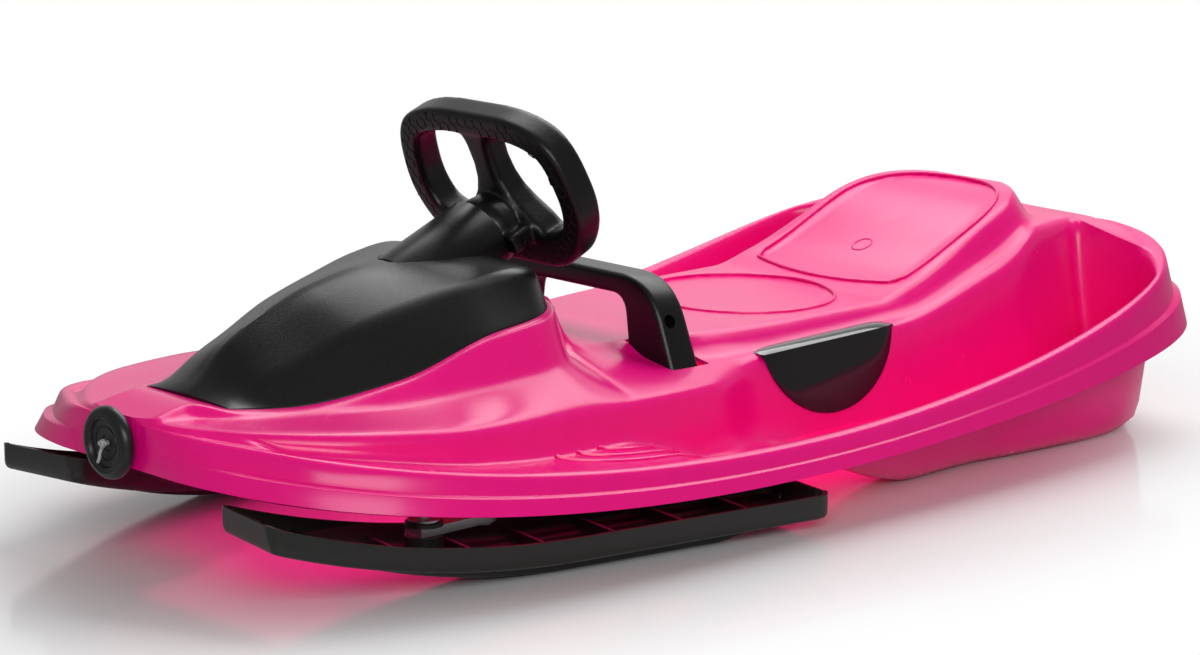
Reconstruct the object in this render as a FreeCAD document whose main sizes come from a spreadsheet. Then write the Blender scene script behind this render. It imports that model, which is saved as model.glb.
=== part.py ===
import FreeCAD, Part
import math
import os
from FreeCAD import Placement, Rotation, Vector

# Steering sled: +X forward, +Y to the rider's left, +Z up, millimetres.
# The origin lies on the floor, under the middle of the hull.

SIZES = {
    # Hull plan and sheer
    "hull_half_width": 298,
    "bow_reach": 570,
    "stern_reach": 591,
    "end_trim": 3,
    "bow_power": 3.2,
    "stern_power": 6.5,
    "sheer_x": 10,
    "skirt_low_z": 57,
    "skirt_bow_rise": 48.1,
    "skirt_stern_rise": 55.4,
    "rim_low_z": 86,
    "rim_bow_rise": 59,
    "rim_stern_rise": 101.9,
    "wall": 4,
    "skirt_flare": 10,
    "bow_flare": 40,
    "stern_flare": 46,
    "rim_width": 16,
    "stern_rim_width": 30,
    # Hull deck: nose, hood seat, saddle, bench, stern shelf
    "nose_half": 42,
    "nose_z": 150,
    "nose_crest_setback": 47,
    "nose_crest_z": 158,
    "hood_setback": 72,
    "hood_wide_x": 235,
    "hood_rear_x": 140,
    "hood_front_half": 60,
    "hood_half": 126,
    "bezel_width": 9,
    "bezel_front_z": 152,
    "bezel_rear_z": 203,
    "saddle_x": 100,
    "saddle_half": 72,
    "saddle_z": 150,
    "deck_wide_x": 340,
    "deck_half": 205,
    "deck_bow_z": 143,
    "deck_z": 136,
    "arch_deck_z": 124,
    "bench_front_x": -20,
    "bench_bend_x": -250,
    "bench_back_setback": 78,
    "bench_half": 118,
    "bench_back_half": 44,
    "bench_z": 151,
    "bench_back_z": 229,
    "bench_step": 16,
    "shoulder_half": 150,
    "shoulder_z": 131,
    "shelf_setback": 113,
    "shelf_half": 128,
    "shelf_z": 200,
    "shelf_drop": 14,
    # Foot channels and the two side runners
    "foot_setback": 89,
    "foot_deck_x": 60,
    "foot_z": 60,
    "foot_rear_x": -48,
    "foot_rear_z": 47,
    "foot_crest_x": 175,
    "foot_crest_z": 93,
    "runner_front_x": -190,
    "runner_setback": 58,
    "runner_wall_run": 18,
    "flat_skim": 0.3,
    "inner_wall_slope": 0.2,
    "outer_wall_slope": 0.34,
    "well_front_slope": 0.5,
    "well_rear_slope": 0.15,
    # Steering column and wheel
    "wheel_x": 124,
    "wheel_z": 266,
    "column_tilt": 23,
    "shaft_radius": 10,
    "shaft_end": 215,
    "shaft_top": 6,
    "wheel_top": 112,
    "wheel_top_half": 103,
    "wheel_half": 121,
    "wheel_low": -14,
    "wheel_bottom": 40,
    "wheel_bottom_half": 82,
    "wheel_bar": 25,
    "wheel_depth": 30,
    "wheel_spoke_half": 15,
    "hub_radius": 26,
    "cover_start": 42,
    "cover_end": 146,
    "cover_radius": 38,
    "cover_wall": 4,
    "bush_length": 14,
    "block_start": 163,
    "block_length": 26,
    "block_radius": 20,
    "block_bush_wall": 4,
    "bracket_width": 30,
    "bracket_thick": 8,
    "bracket_top_z": 158,
    "crank_start": 201,
    "crank_thick": 11,
    "crank_radius": 40,
    "crank_boss": 16,
    "crank_pin_radius": 5,
    "crank_pin_reach": 24,
    # Hood
    "hood_crest_z": 247,
    "hood_skirt": 14,
    "hood_wall": 3,
    "hood_gap": 0.4,
    # Skis
    "kingpin_x": 381,
    "kingpin_y": 180,
    "kingpin_radius": 6,
    "post_low_z": 60,
    "post_low_radius": 14,
    "post_top_radius": 22,
    "ski_front": 172,
    "ski_rear": 398,
    "ski_half_width": 50,
    "ski_wall": 3,
    "ski_side": 23,
    "ski_floor_z": 12,
    "ski_flat_x": 250,
    "ski_bow_radius": 900,
    "ski_corner": 16,
    "ski_toe_in": 9.5,
    "keel_half_width": 26,
    "keel_bow_radius": 650,
    "rib_thick": 3,
    "rib_height": 12,
    "ski_hub_radius": 17,
    "ski_hub_top_z": 58,
    "washer_thick": 1.6,
    "hub_recess": 10,
    "ski_bush_wall": 2,
    "kingpin_head": 4,
    "kingpin_head_thick": 4.8,
    "kingpin_grip": 48,
    "keel_ramp": 60,
    "keel_heel": 45,
    # Steering linkage
    "arm_length": 67,
    "arm_half_width": 11,
    "arm_thick": 8,
    "arm_z": 46,
    "rod_half_width": 10,
    "rod_thick": 8,
    "joint_gap": 0.4,
    "rod_pin_radius": 4,
    "tab_half_width": 17,
    "tab_thick": 8,
    "tab_top_z": 157,
    "slot_side_gap": 0.7,
    "slot_reach": 12,
    # Brake
    "brake_x": 32,
    "brake_z": 126,
    "brake_leg_half": 18,
    "brake_top_half_depth": 17,
    "brake_inner_half": 79,
    "brake_inner_top_half": 70,
    "brake_outer_half": 139,
    "brake_outer_top_half": 106,
    "brake_top_z": 210,
    "brake_bar": 20,
    "brake_corner": 60,
    "brake_inner_corner": 20,
    "brake_axle_radius": 5,
    "brake_lug_thick": 7,
    "claw_thick": 7,
    "claw_gap": 9,
    "claw_hub_radius": 14,
    "spring_gap": 28,
    "spring_length": 36,
    "spring_wire": 4,
    "claw_reach": 104,
    "claw_drop": 84,
    "claw_width": 22,
    "slot_gap": 2.5,
    "slot_back": 11,
    "brake_swing": 20,
    # Tow handle and reel
    "reel_setback": 47,
    "tow_z": 126,
    "cord_radius": 2,
    "drum_winding_radius": 14,
    "drum_core_radius": 9,
    "drum_flange_radius": 19,
    "drum_half_width": 15,
    "reel_wall": 3,
    "reel_gap": 1.2,
    "reel_axle_radius": 4,
    "handle_radius": 32,
    "handle_thick": 13,
    "handle_dish": 5,
    "bush_flange": 3.6,
    "bush_radius": 9,
    "knot_radius": 4.5,
    "tail_length": 18,
    # Side covers and fasteners
    "side_cover_x": -143,
    "side_cover_half": 88,
    "side_cover_drop": 70,
    "side_cover_thick": 3,
    "side_cover_lip": 14,
    "screw_radius": 2.5,
    "screw_head_radius": 5,
    "screw_head": 3,
    "run_gap": 0.05,
    "seat_gap": 0.3,
}

doc = FreeCAD.newDocument("steering_sled")
sheet = doc.addObject("Spreadsheet::Sheet", "sizes")
for row, (alias, value) in enumerate(SIZES.items(), 1):
    sheet.set(f"A{row}", alias)
    sheet.set(f"B{row}", str(value))
    sheet.setAlias(f"B{row}", alias)
doc.recompute()

nodes = []


def size(alias):
    return float(sheet.get(alias))


def keep(obj, label):
    obj.Label = label
    nodes.append(obj)
    return obj


def feature(label, shape):
    obj = doc.addObject("Part::Feature", label)
    obj.Shape = shape.removeSplitter() if shape.ShapeType != "Compound" else shape
    return keep(obj, label)


def turned(name, radius, height, base, axis):
    """A Part cylinder whose radius and height follow cells of the sheet."""
    obj = doc.addObject("Part::Cylinder", name)
    obj.setExpression("Radius", radius)
    obj.setExpression("Height", height)
    obj.Placement = Placement(base, Rotation(Vector(0, 0, 1), axis))
    return obj


def ring(label, outer, inner, height, base, axis):
    obj = doc.addObject("Part::Cut", label)
    obj.Base = turned(label + "_body", outer, height, base, axis)
    obj.Tool = turned(label + "_bore", inner, height, base, axis)
    return keep(obj, label)


def rod(label, radius, height, base, axis):
    return keep(turned(label, radius, height, base, axis), label)


def group(label, children):
    obj = doc.addObject("Part::Compound", label)
    obj.Links = children
    return keep(obj, label)


def block(x0, x1, y0, y1, z0, z1):
    return Part.makeBox(x1 - x0, y1 - y0, z1 - z0, Vector(x0, y0, z0))


def mirrored(shape):
    return shape.mirror(Vector(0, 0, 0), Vector(0, 1, 0))


def both_sides(shape):
    return [shape, mirrored(shape)]


def line(x, knots):
    """Reads a line of the hull at station x; its knots run from bow to stern."""
    for (xa, a), (xb, b) in zip(knots, knots[1:]):
        if x >= xb:
            share = max(0.0, (xa - x) / (xa - xb))
            return a + (b - a) * share
    return knots[-1][1]


def rounded(points, radii):
    """A closed flat wire through the points, with each corner rounded by its radius."""
    edges = []
    count = len(points)
    starts, ends = [], []
    for i, point in enumerate(points):
        before = (points[i - 1] - point).normalize()
        after = (points[(i + 1) % count] - point).normalize()
        half = before.getAngle(after) / 2
        reach = radii[i] / math.tan(half)
        middle = (before + after).normalize() * (radii[i] / math.sin(half) - radii[i])
        starts.append(point + before * reach)
        ends.append(point + after * reach)
        if radii[i] > 0:
            edges.append(Part.Arc(starts[i], point + middle, ends[i]).toShape())
    for i in range(count):
        a, b = ends[i], starts[(i + 1) % count]
        if a.distanceToPoint(b) > 0.01:
            edges.append(Part.LineSegment(a, b).toShape())
    return Part.Wire(Part.__sortEdges__(edges))


def prism(wire, direction):
    return Part.Face(wire).extrude(direction)


# Column frame: local x is +Y, local y is up across the column, local z runs down it
TILT = math.radians(size("column_tilt"))
DOWN = Vector(math.cos(TILT), 0, -math.sin(TILT))
ACROSS = Vector(math.sin(TILT), 0, math.cos(TILT))
WHEEL_CENTRE = Vector(size("wheel_x"), 0, size("wheel_z"))
COLUMN = Placement(WHEEL_CENTRE, Rotation(Vector(0, 1, 0), ACROSS, DOWN, "ZXY"))


def on_column(distance, across=0.0):
    return WHEEL_CENTRE + DOWN * distance - ACROSS * across


def in_column(shape):
    shape.Placement = COLUMN.multiply(shape.Placement)
    return shape


# Hull lines
WALL = size("wall")
BOW_END = size("bow_reach") - size("end_trim")
STERN_END = size("end_trim") - size("stern_reach")
NOSE_CREST_X = BOW_END - size("nose_crest_setback")
HOOD_FRONT_X = BOW_END - size("hood_setback")
FOOT_FRONT_X = BOW_END - size("foot_setback")
REEL_X = BOW_END - size("reel_setback")
HANDLE_REAR_X = BOW_END + size("bush_flange") + size("seat_gap")
BENCH_BACK_X = STERN_END + size("bench_back_setback")
BENCH_END_X = BENCH_BACK_X - size("shelf_drop")
SHELF_X = STERN_END + size("shelf_setback")
RUNNER_REAR_X = STERN_END + size("runner_setback")
FOOT_END_X = RUNNER_REAR_X - size("runner_wall_run")
BENCH_MIDDLE_X = (size("bench_front_x") + size("bench_bend_x")) / 2


def plan_half(x):
    reach, power = size("bow_reach"), size("bow_power")
    if x < 0:
        reach, power = size("stern_reach"), size("stern_power")
    return size("hull_half_width") * (1 - (abs(x) / reach) ** power) ** (1 / power)


def sheer(x, bow_rise, stern_rise):
    """Height gained from the lowest station towards the bow or the stern, along a parabola."""
    low = size("sheer_x")
    if x > low:
        return bow_rise * ((x - low) / (BOW_END - low)) ** 2
    return stern_rise * ((x - low) / (STERN_END - low)) ** 2


def skirt_z(x):
    return size("skirt_low_z") + sheer(x, size("skirt_bow_rise"), size("skirt_stern_rise"))


def rim_z(x):
    return size("rim_low_z") + sheer(x, size("rim_bow_rise"), size("rim_stern_rise"))


def on_bench_back(share):
    """A station between the bench's bend and the stern shelf."""
    return size("bench_bend_x") + (SHELF_X - size("bench_bend_x")) * share


def hood_half_at(x):
    front, wide, rear = HOOD_FRONT_X, size("hood_wide_x"), size("hood_rear_x")
    if x > wide:
        grow = math.sin(math.pi / 2 * min(1.0, max(0.0, (front - x) / (front - wide))))
        return size("hood_front_half") + (size("hood_half") - size("hood_front_half")) * grow
    tail = min(0.985, (wide - x) / (wide - rear))
    return size("hood_half") * (1 - tail ** 3) ** (1 / 3)


HOOD_LENGTH = HOOD_FRONT_X - size("hood_rear_x")
BEZEL_RISE = size("bezel_rear_z") - size("bezel_front_z")


def on_hood(share):
    """A station at a share of the hood's length, from its front."""
    return HOOD_FRONT_X - HOOD_LENGTH * share


TOP_Z = [
    (BOW_END, size("nose_z")), (NOSE_CREST_X, size("nose_crest_z")),
    (HOOD_FRONT_X, size("bezel_front_z")), (on_hood(0.14), size("bezel_front_z") - 0.06 * BEZEL_RISE),
    (on_hood(0.41), size("bezel_front_z") + 0.22 * BEZEL_RISE),
    (on_hood(0.69), size("bezel_front_z") + 0.82 * BEZEL_RISE),
    (size("hood_rear_x"), size("bezel_rear_z")), (size("saddle_x"), size("saddle_z")),
    (size("bench_front_x"), size("bench_z")), (BENCH_MIDDLE_X, size("bench_z") + size("flat_skim")),
    (size("bench_bend_x"), size("bench_z")),
    (BENCH_BACK_X, size("bench_back_z")), (BENCH_END_X, size("shelf_z") + 2),
    (STERN_END, size("shelf_z")),
]
TOP_HALF = [
    (size("saddle_x"), size("saddle_half")), (size("bench_front_x"), size("bench_half") - 8),
    (size("bench_bend_x"), size("bench_half")), (BENCH_BACK_X, size("bench_back_half")),
    (STERN_END, size("bench_back_half") - 8),
]
CREASE_STEP = [
    (BOW_END, 8), (HOOD_FRONT_X, 12), (size("deck_wide_x"), 36), (size("hood_rear_x"), 22),
    (size("saddle_x"), 24), (size("bench_front_x"), size("bench_step")), (STERN_END, size("bench_step")),
]
SHOULDER_HALF = [
    (FOOT_FRONT_X, size("deck_half") - 40), (size("deck_wide_x"), size("deck_half")),
    (size("hood_wide_x"), size("deck_half") - 6), (size("brake_x"), size("deck_half") - 28),
    (size("bench_front_x") - 30, size("shoulder_half")), (on_bench_back(0.67), size("shoulder_half")),
    (SHELF_X, size("shelf_half")), (STERN_END, size("shelf_half") - 30),
]
SHOULDER_Z = [
    (BOW_END, size("nose_z") - 2), (FOOT_FRONT_X, size("deck_bow_z") + 1),
    (size("deck_wide_x"), size("deck_z")), (size("brake_x"), size("arch_deck_z")),
    (size("bench_front_x") - 30, size("shoulder_z") - 2), (size("bench_bend_x"), size("shoulder_z") + 3),
    (on_bench_back(0.58), size("shoulder_z") + 36), (SHELF_X, size("shelf_z") - 1),
    (STERN_END, size("shelf_z") - 1),
]
CREASE_RISE = [
    (BOW_END, 1), (HOOD_FRONT_X, 1), (size("deck_wide_x"), 6), (size("hood_rear_x"), 26),
    (size("saddle_x"), 18), (size("bench_front_x"), 2), (STERN_END, 0.5),
]
FLOOR_Z = [
    (FOOT_FRONT_X, rim_z(FOOT_FRONT_X) - 2), (size("deck_wide_x"), rim_z(size("deck_wide_x")) - 2),
    (size("hood_wide_x"), rim_z(size("hood_wide_x")) - 1), (size("foot_crest_x"), size("foot_crest_z")),
    (size("foot_deck_x"), size("foot_z")),
    (size("foot_rear_x"), size("foot_rear_z")), (size("runner_front_x"), WALL - size("flat_skim")),
    (RUNNER_REAR_X, WALL - size("flat_skim")),
    (FOOT_END_X, size("shelf_z") - 8), (STERN_END, size("shelf_z") - 8),
]
RIM_WIDTH = [
    (0, size("rim_width")), (on_bench_back(0.67), size("rim_width") - 4), (SHELF_X - 25, size("rim_width") / 2),
    (FOOT_END_X, size("stern_rim_width") - 4), (STERN_END, size("stern_rim_width")),
]
FLARE = [
    (BOW_END, size("bow_flare")), (BOW_END - 27, size("bow_flare") + 10), (BOW_END - 67, size("bow_flare") - 9),
    (BOW_END - 117, size("bow_flare") - 18), (BOW_END - 217, size("skirt_flare") + 5), (0, size("skirt_flare")),
    (size("bench_bend_x"), size("skirt_flare")), (on_bench_back(0.67), size("skirt_flare") + 3),
    (SHELF_X - 25, size("stern_flare") - 26), (STERN_END + 38, size("stern_flare") - 15),
    (STERN_END, size("stern_flare")),
]
OUTER_SLOPE = [
    (size("foot_rear_x"), size("outer_wall_slope")), (size("runner_front_x"), size("well_front_slope")),
    (size("bench_bend_x"), size("well_front_slope")), (on_bench_back(0.4), size("outer_wall_slope")),
    (SHELF_X, size("well_rear_slope")), (STERN_END, size("well_rear_slope")),
]


def hull_section(x):
    """Half of the hull's upper face at station x, from the middle out to the skirt's edge."""
    skirt_half = plan_half(x)
    rim_outer = skirt_half - line(x, FLARE)
    rim_inner = rim_outer - min(line(x, RIM_WIDTH), rim_outer * 0.25)
    rim = rim_z(x)
    if x > size("saddle_x"):
        top = hood_half_at(max(x, size("hood_rear_x"))) + size("bezel_width")
        nose = max(0.0, (x - HOOD_FRONT_X) / (BOW_END - HOOD_FRONT_X))
        top += (size("nose_half") - top) * min(1.0, 2.5 * nose) if x > HOOD_FRONT_X else 0
        if x < size("hood_rear_x"):
            top = size("saddle_half")
    else:
        top = line(x, TOP_HALF)
    shoulder = min(line(x, SHOULDER_HALF), rim_inner * 0.84)
    crease = min(top + line(x, CREASE_STEP), shoulder - 4)
    top = min(top, crease - 4)
    shoulder_z = line(x, SHOULDER_Z)
    bow_blend = max(0.0, (x - FOOT_FRONT_X) / (BOW_END - FOOT_FRONT_X))
    floor_z = line(x, FLOOR_Z)
    if bow_blend > 0:
        floor_z = min(shoulder_z, rim) - 1
    if x < RUNNER_REAR_X:
        floor_z = min(floor_z, min(shoulder_z, rim) - 1)
    foot_inner = shoulder + max(2.0, size("inner_wall_slope") * (shoulder_z - floor_z))
    outer_floor_z = min(floor_z, rim - 2) if 0 < x <= FOOT_FRONT_X else floor_z
    foot_outer = rim_inner - max(2.0, line(x, OUTER_SLOPE) * (rim - outer_floor_z))
    foot_outer = max(foot_outer, foot_inner + 2)
    return [
        (0.0, line(x, TOP_Z)), (top, line(x, TOP_Z)),
        (crease, shoulder_z + line(x, CREASE_RISE)), (shoulder, shoulder_z),
        (foot_inner, floor_z), (foot_outer, outer_floor_z),
        (max(rim_inner, foot_outer + 2), rim), (rim_outer, rim), (skirt_half, skirt_z(x)),
    ]


def offset_line(points, depths):
    """The underside of a section: each point moved in by its depth, square to the two runs."""
    normals = []
    for (y0, z0), (y1, z1) in zip(points, points[1:]):
        run = math.hypot(y1 - y0, z1 - z0)
        normals.append((-(z1 - z0) / run, (y1 - y0) / run))
    under = []
    for i, (y, z) in enumerate(points):
        a = normals[max(0, i - 1)]
        b = normals[min(i, len(normals) - 1)]
        spread = max(0.45, 1 + a[0] * b[0] + a[1] * b[1])
        under.append((y + depths[i] * (a[0] + b[0]) / spread, z + depths[i] * (a[1] + b[1]) / spread))
    return under


def whole(half):
    """A section from the left edge to the right one, from its right half."""
    return list(reversed(half)) + [(-y, z) for y, z in half[1:]]


def skin(stations, section, depth, lowest):
    """A thin shell lofted through the sections at the stations, and the faces at its two ends."""
    halves = [section(x) for x in stations]
    wires, outlines = [], []
    for i, x in enumerate(stations):
        near, far = max(0, i - 1), min(len(stations) - 1, i + 1)
        run = stations[near] - stations[far]
        slopes = [abs(a[1] - b[1]) / run for a, b in zip(halves[near], halves[far])]
        depths = [depth * min(3.5, math.hypot(1, slope)) for slope in slopes]
        upper = whole(halves[i])
        under = offset_line(upper, whole_depths(depths))
        under = [(y, max(z, lowest)) for y, z in under]
        outline = [Vector(x, y, z) for y, z in upper]
        loop = outline + [Vector(x, y, z) for y, z in reversed(under)]
        wires.append(Part.makePolygon(loop + loop[:1]))
        outlines.append(outline)
    shell = Part.makeLoft(wires, True, True)
    ends = []
    for outline, way in ((outlines[0], -1), (outlines[-1], 1)):
        face = Part.Face(Part.makePolygon(outline + outline[:1]))
        ends.append(face.extrude(Vector(way * depth, 0, 0)))
    return shell.multiFuse(ends)


def whole_depths(depths):
    return list(reversed(depths)) + depths[1:]


def hull_stations():
    knots = [TOP_Z, TOP_HALF, SHOULDER_HALF, SHOULDER_Z, FLOOR_Z, RIM_WIDTH, OUTER_SLOPE]
    marks = {round(x, 3) for knot in knots for x, _ in knot if STERN_END <= x <= BOW_END}
    marks |= {BOW_END - 5, BOW_END - 16, STERN_END + 5, STERN_END + 16, STERN_END + 30}
    marks |= {size("hood_rear_x") + 14, size("hood_rear_x") + 40, on_bench_back(0.75)}
    marks |= {HOOD_FRONT_X - 45, HOOD_FRONT_X - 75, HOOD_FRONT_X - 95}
    marks.add((size("deck_wide_x") + size("hood_wide_x")) / 2)
    ordered = sorted(marks, reverse=True)
    return [x for i, x in enumerate(ordered) if i == 0 or ordered[i - 1] - x > 2.5]


# The hood's lines: station, crest as a share of its rise, crease as shares of the half-width and of the height
HOOD_LINES = [
    (0, 0.03, 0.8, 0.5), (0.05, 0.19, 0.75, 0.35), (0.13, 0.47, 0.72, 0.47), (0.24, 0.69, 0.7, 0.51),
    (0.38, 0.87, 0.67, 0.61), (0.55, 0.98, 0.66, 0.65), (0.72, 1, 0.71, 0.75), (0.83, 0.98, 0.76, 0.85),
    (0.915, 0.93, 0.76, 0.82), (0.965, 0.78, 0.66, 0.83), (0.985, 0.6, 0.63, 0.7),
]
HOOD_CREST = [(on_hood(share), crest) for share, crest, _, _ in HOOD_LINES]
HOOD_CREASE_HALF = [(on_hood(share), half) for share, _, half, _ in HOOD_LINES]
HOOD_CREASE_RISE = [(on_hood(share), rise) for share, _, _, rise in HOOD_LINES]


def hood_stations():
    return [x for x, _ in HOOD_CREST]


def hood_outline(gap):
    """The hood opening in plan, or the hood's own edge at a gap inside it."""
    xs = hood_stations()
    left = [Vector(x, hood_half_at(x) - gap, 0) for x in xs]
    left[0].x -= gap
    left[-1].x += gap
    right = [Vector(p.x, -p.y, 0) for p in reversed(left)]
    return Part.makePolygon(left + right + left[:1])


def kingpin_centres():
    return [Vector(size("kingpin_x"), side * size("kingpin_y"), 0) for side in (1, -1)]


BRACKET_X = on_column(size("block_start") + size("block_length") / 2).x - 12
BRACKET_HALF = hood_half_at(BRACKET_X) + 14
HOOD_TAB_XS = (HOOD_FRONT_X - 60, size("hood_wide_x") - 30)
HOOD_TAB_DROP = size("hood_skirt") + 4


def hood_tab_centres():
    """The four places where a screw holds the hood to a tab of the hull."""
    places = []
    for x in HOOD_TAB_XS:
        y = hood_half_at(x) - 11
        z = line(x, TOP_Z) - HOOD_TAB_DROP
        places += [Vector(x, y, z), Vector(x, -y, z)]
    return places


def slot_inner_half():
    """Inner side of the slots in the deck, clear of the arch's leaning legs where they pass the saddle."""
    lean = (size("brake_inner_half") - size("brake_inner_top_half")) / (size("brake_top_z") - size("brake_z"))
    return size("brake_inner_half") - 1.5 * lean * (size("saddle_z") - size("brake_z")) - size("slot_gap")


def make_hull():
    shape = skin(hull_stations(), hull_section, WALL, -1.0)
    half, skim = size("hull_half_width"), size("flat_skim")
    ground = block(STERN_END, BOW_END, -half, half, -2, 0)
    bench = size("bench_z")
    crown = block(size("bench_bend_x"), size("bench_front_x"), -half, half, bench, bench + 4 * skim)
    opening = prism(hood_outline(0), Vector(0, 0, 2 * size("hood_crest_z")))
    shape = shape.cut(ground).cut(crown).cut(opening)
    added, removed = [], []
    for centre in kingpin_centres():
        top = line(size("kingpin_x"), SHOULDER_Z) - 1
        base = Vector(centre.x, centre.y, size("post_low_z"))
        added.append(Part.makeCone(size("post_low_radius"), size("post_top_radius"), top - base.z, base))
        removed.append(Part.makeCylinder(size("kingpin_radius") + size("run_gap"), size("kingpin_grip") + 1, base))
    bracket_top = line(BRACKET_X, TOP_Z) - 2
    added += both_sides(block(BRACKET_X - 10, BRACKET_X + 10, hood_half_at(BRACKET_X - 10) + 0.5,
                              BRACKET_HALF - 5, size("bracket_top_z"), bracket_top))
    for p in hood_tab_centres():
        near = max(hood_half_at(p.x - 9), hood_half_at(p.x + 9)) + 0.5
        shelf_ys = sorted(math.copysign(y, p.y) for y in (abs(p.y) - 8, near + 1))
        wall_ys = sorted(math.copysign(y, p.y) for y in (near, near + 4.5))
        added.append(block(p.x - 9, p.x + 9, *shelf_ys, p.z - 4, p.z))
        added.append(block(p.x - 9, p.x + 9, *wall_ys, p.z - 4, line(p.x - 9, TOP_Z) - 2))
        removed.append(Part.makeCylinder(size("screw_radius") + size("run_gap"), 10, p - Vector(0, 0, 7)))
    lug_outer = slot_inner_half()
    lug = block(size("brake_x") - 14, size("brake_x") + 14, lug_outer - size("brake_lug_thick"), lug_outer,
                size("brake_z") - 13, size("saddle_z") - 2)
    added += both_sides(lug)
    removed.append(Part.makeCylinder(size("brake_axle_radius") + size("run_gap"), 2 * lug_outer + 20,
                                     Vector(size("brake_x"), -lug_outer - 10, size("brake_z")), Vector(0, 1, 0)))
    reach = size("brake_leg_half") / math.cos(math.radians(size("brake_swing"))) + size("slot_back")
    slot = block(size("brake_x") - reach, size("brake_x") + size("brake_leg_half") + size("slot_gap"),
                 slot_inner_half(), size("brake_outer_half") + size("slot_gap"),
                 size("brake_z") - 20, 200)
    removed += both_sides(slot)
    reel_top = size("tow_z") - size("drum_winding_radius") + reel_outer_radius()
    added.append(block(REEL_X - 12, REEL_X + 12, -14, 14, reel_top, size("nose_crest_z") - 3))
    removed.append(Part.makeCylinder(size("bush_radius") + size("run_gap"), 30,
                                     Vector(BOW_END - 15, 0, size("tow_z")), Vector(1, 0, 0)))
    removed.append(in_column(Part.makeCylinder(size("cover_radius") + size("seat_gap") + 0.4,
                                               size("cover_end") - size("cover_start") + 10,
                                               Vector(0, 0, size("cover_start") - 5))))
    shape = shape.multiFuse(added)
    for tool in removed:
        shape = shape.cut(tool)
    return shape


def reel_outer_radius():
    return size("drum_flange_radius") + size("reel_gap") + size("reel_wall")


def hood_section(x):
    edge = hood_half_at(x) - size("hood_gap")
    edge_z = line(x, TOP_Z) + 0.6
    crest = size("bezel_front_z") + line(x, HOOD_CREST) * (size("hood_crest_z") - size("bezel_front_z"))
    crest = max(crest, edge_z + 1.5)
    crease = edge * line(x, HOOD_CREASE_HALF)
    crease_z = edge_z + (crest - edge_z) * line(x, HOOD_CREASE_RISE)
    return [(0.0, crest), (crease, crease_z), (edge, edge_z), (edge + 0.02, edge_z - size("hood_skirt"))]


def make_hood():
    shape = skin(hood_stations(), hood_section, size("hood_wall"), 0.0)
    for p in hood_tab_centres():
        top = line(p.x, TOP_Z) + 2
        boss = Part.makeCylinder(7, top - p.z, p)
        pilot = Part.makeCylinder(size("screw_radius") + size("run_gap"), 12, p)
        shape = shape.fuse(boss).cut(pilot)
    channel = Part.makeCylinder(size("cover_radius") + size("seat_gap"), size("cover_end") + 60,
                                Vector(0, 0, size("cover_start") - 60))
    return shape.cut(in_column(channel))


feature("hull_shell", make_hull())
feature("hood_cover", make_hood())

# Steering column: cover tube, bushes, bracket
ring("column_cover", "sizes.cover_radius", "sizes.cover_radius - sizes.cover_wall",
     "sizes.cover_end - sizes.cover_start", on_column(size("cover_start")), DOWN)
ring("upper_bush", "sizes.cover_radius - sizes.cover_wall - sizes.run_gap", "sizes.shaft_radius + sizes.run_gap",
     "sizes.bush_length", on_column(size("cover_start") + 4), DOWN)
ring("lower_bush", "sizes.shaft_radius + sizes.block_bush_wall", "sizes.shaft_radius + sizes.run_gap",
     "sizes.block_length", on_column(size("block_start")), DOWN)


def make_bracket():
    """A bar under the hood with the block that holds the lower bush."""
    z1 = size("bracket_top_z")
    z0 = z1 - size("bracket_thick")
    half = size("bracket_width") / 2
    bar = block(BRACKET_X - half, BRACKET_X + half, -BRACKET_HALF, BRACKET_HALF, z0, z1)
    body = in_column(Part.makeCylinder(size("block_radius"), size("block_length"),
                                       Vector(0, 0, size("block_start"))))
    foot = block(BRACKET_X - half, BRACKET_X + half, -size("block_radius"), size("block_radius"), z1,
                 on_column(size("block_start")).z - 4)
    bore_radius = size("shaft_radius") + size("block_bush_wall") + size("run_gap")
    bore = in_column(Part.makeCylinder(bore_radius, size("block_length") + 80,
                                       Vector(0, 0, size("block_start") - 40)))
    shape = bar.fuse(foot).fuse(body).cut(bore)
    for p in bracket_screw_places():
        shape = shape.cut(Part.makeCylinder(size("screw_radius") + size("run_gap"), 60, p - Vector(0, 0, 30)))
    return shape


def bracket_screw_places():
    y = BRACKET_HALF - 9
    z = size("bracket_top_z") - size("bracket_thick")
    return [Vector(BRACKET_X, side * y, z) for side in (1, -1)]


feature("column_bracket", make_bracket())


def screw(name, head_base, length):
    """A pan-head screw driven upwards, with its head below head_base."""
    obj = doc.addObject("Part::Fuse", name)
    obj.Base = turned(name + "_shank", "sizes.screw_radius", f"{length}", head_base, Vector(0, 0, 1))
    obj.Tool = turned(name + "_head", "sizes.screw_head_radius", "sizes.screw_head",
                      head_base - Vector(0, 0, size("screw_head")), Vector(0, 0, 1))
    return obj


group("hood_screws", [screw(f"hood_screw_{i}", p - Vector(0, 0, 4), 14)
                      for i, p in enumerate(hood_tab_centres())])
group("bracket_screws", [screw(f"bracket_screw_{i}", p, size("bracket_thick"))
                         for i, p in enumerate(bracket_screw_places())])


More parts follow.
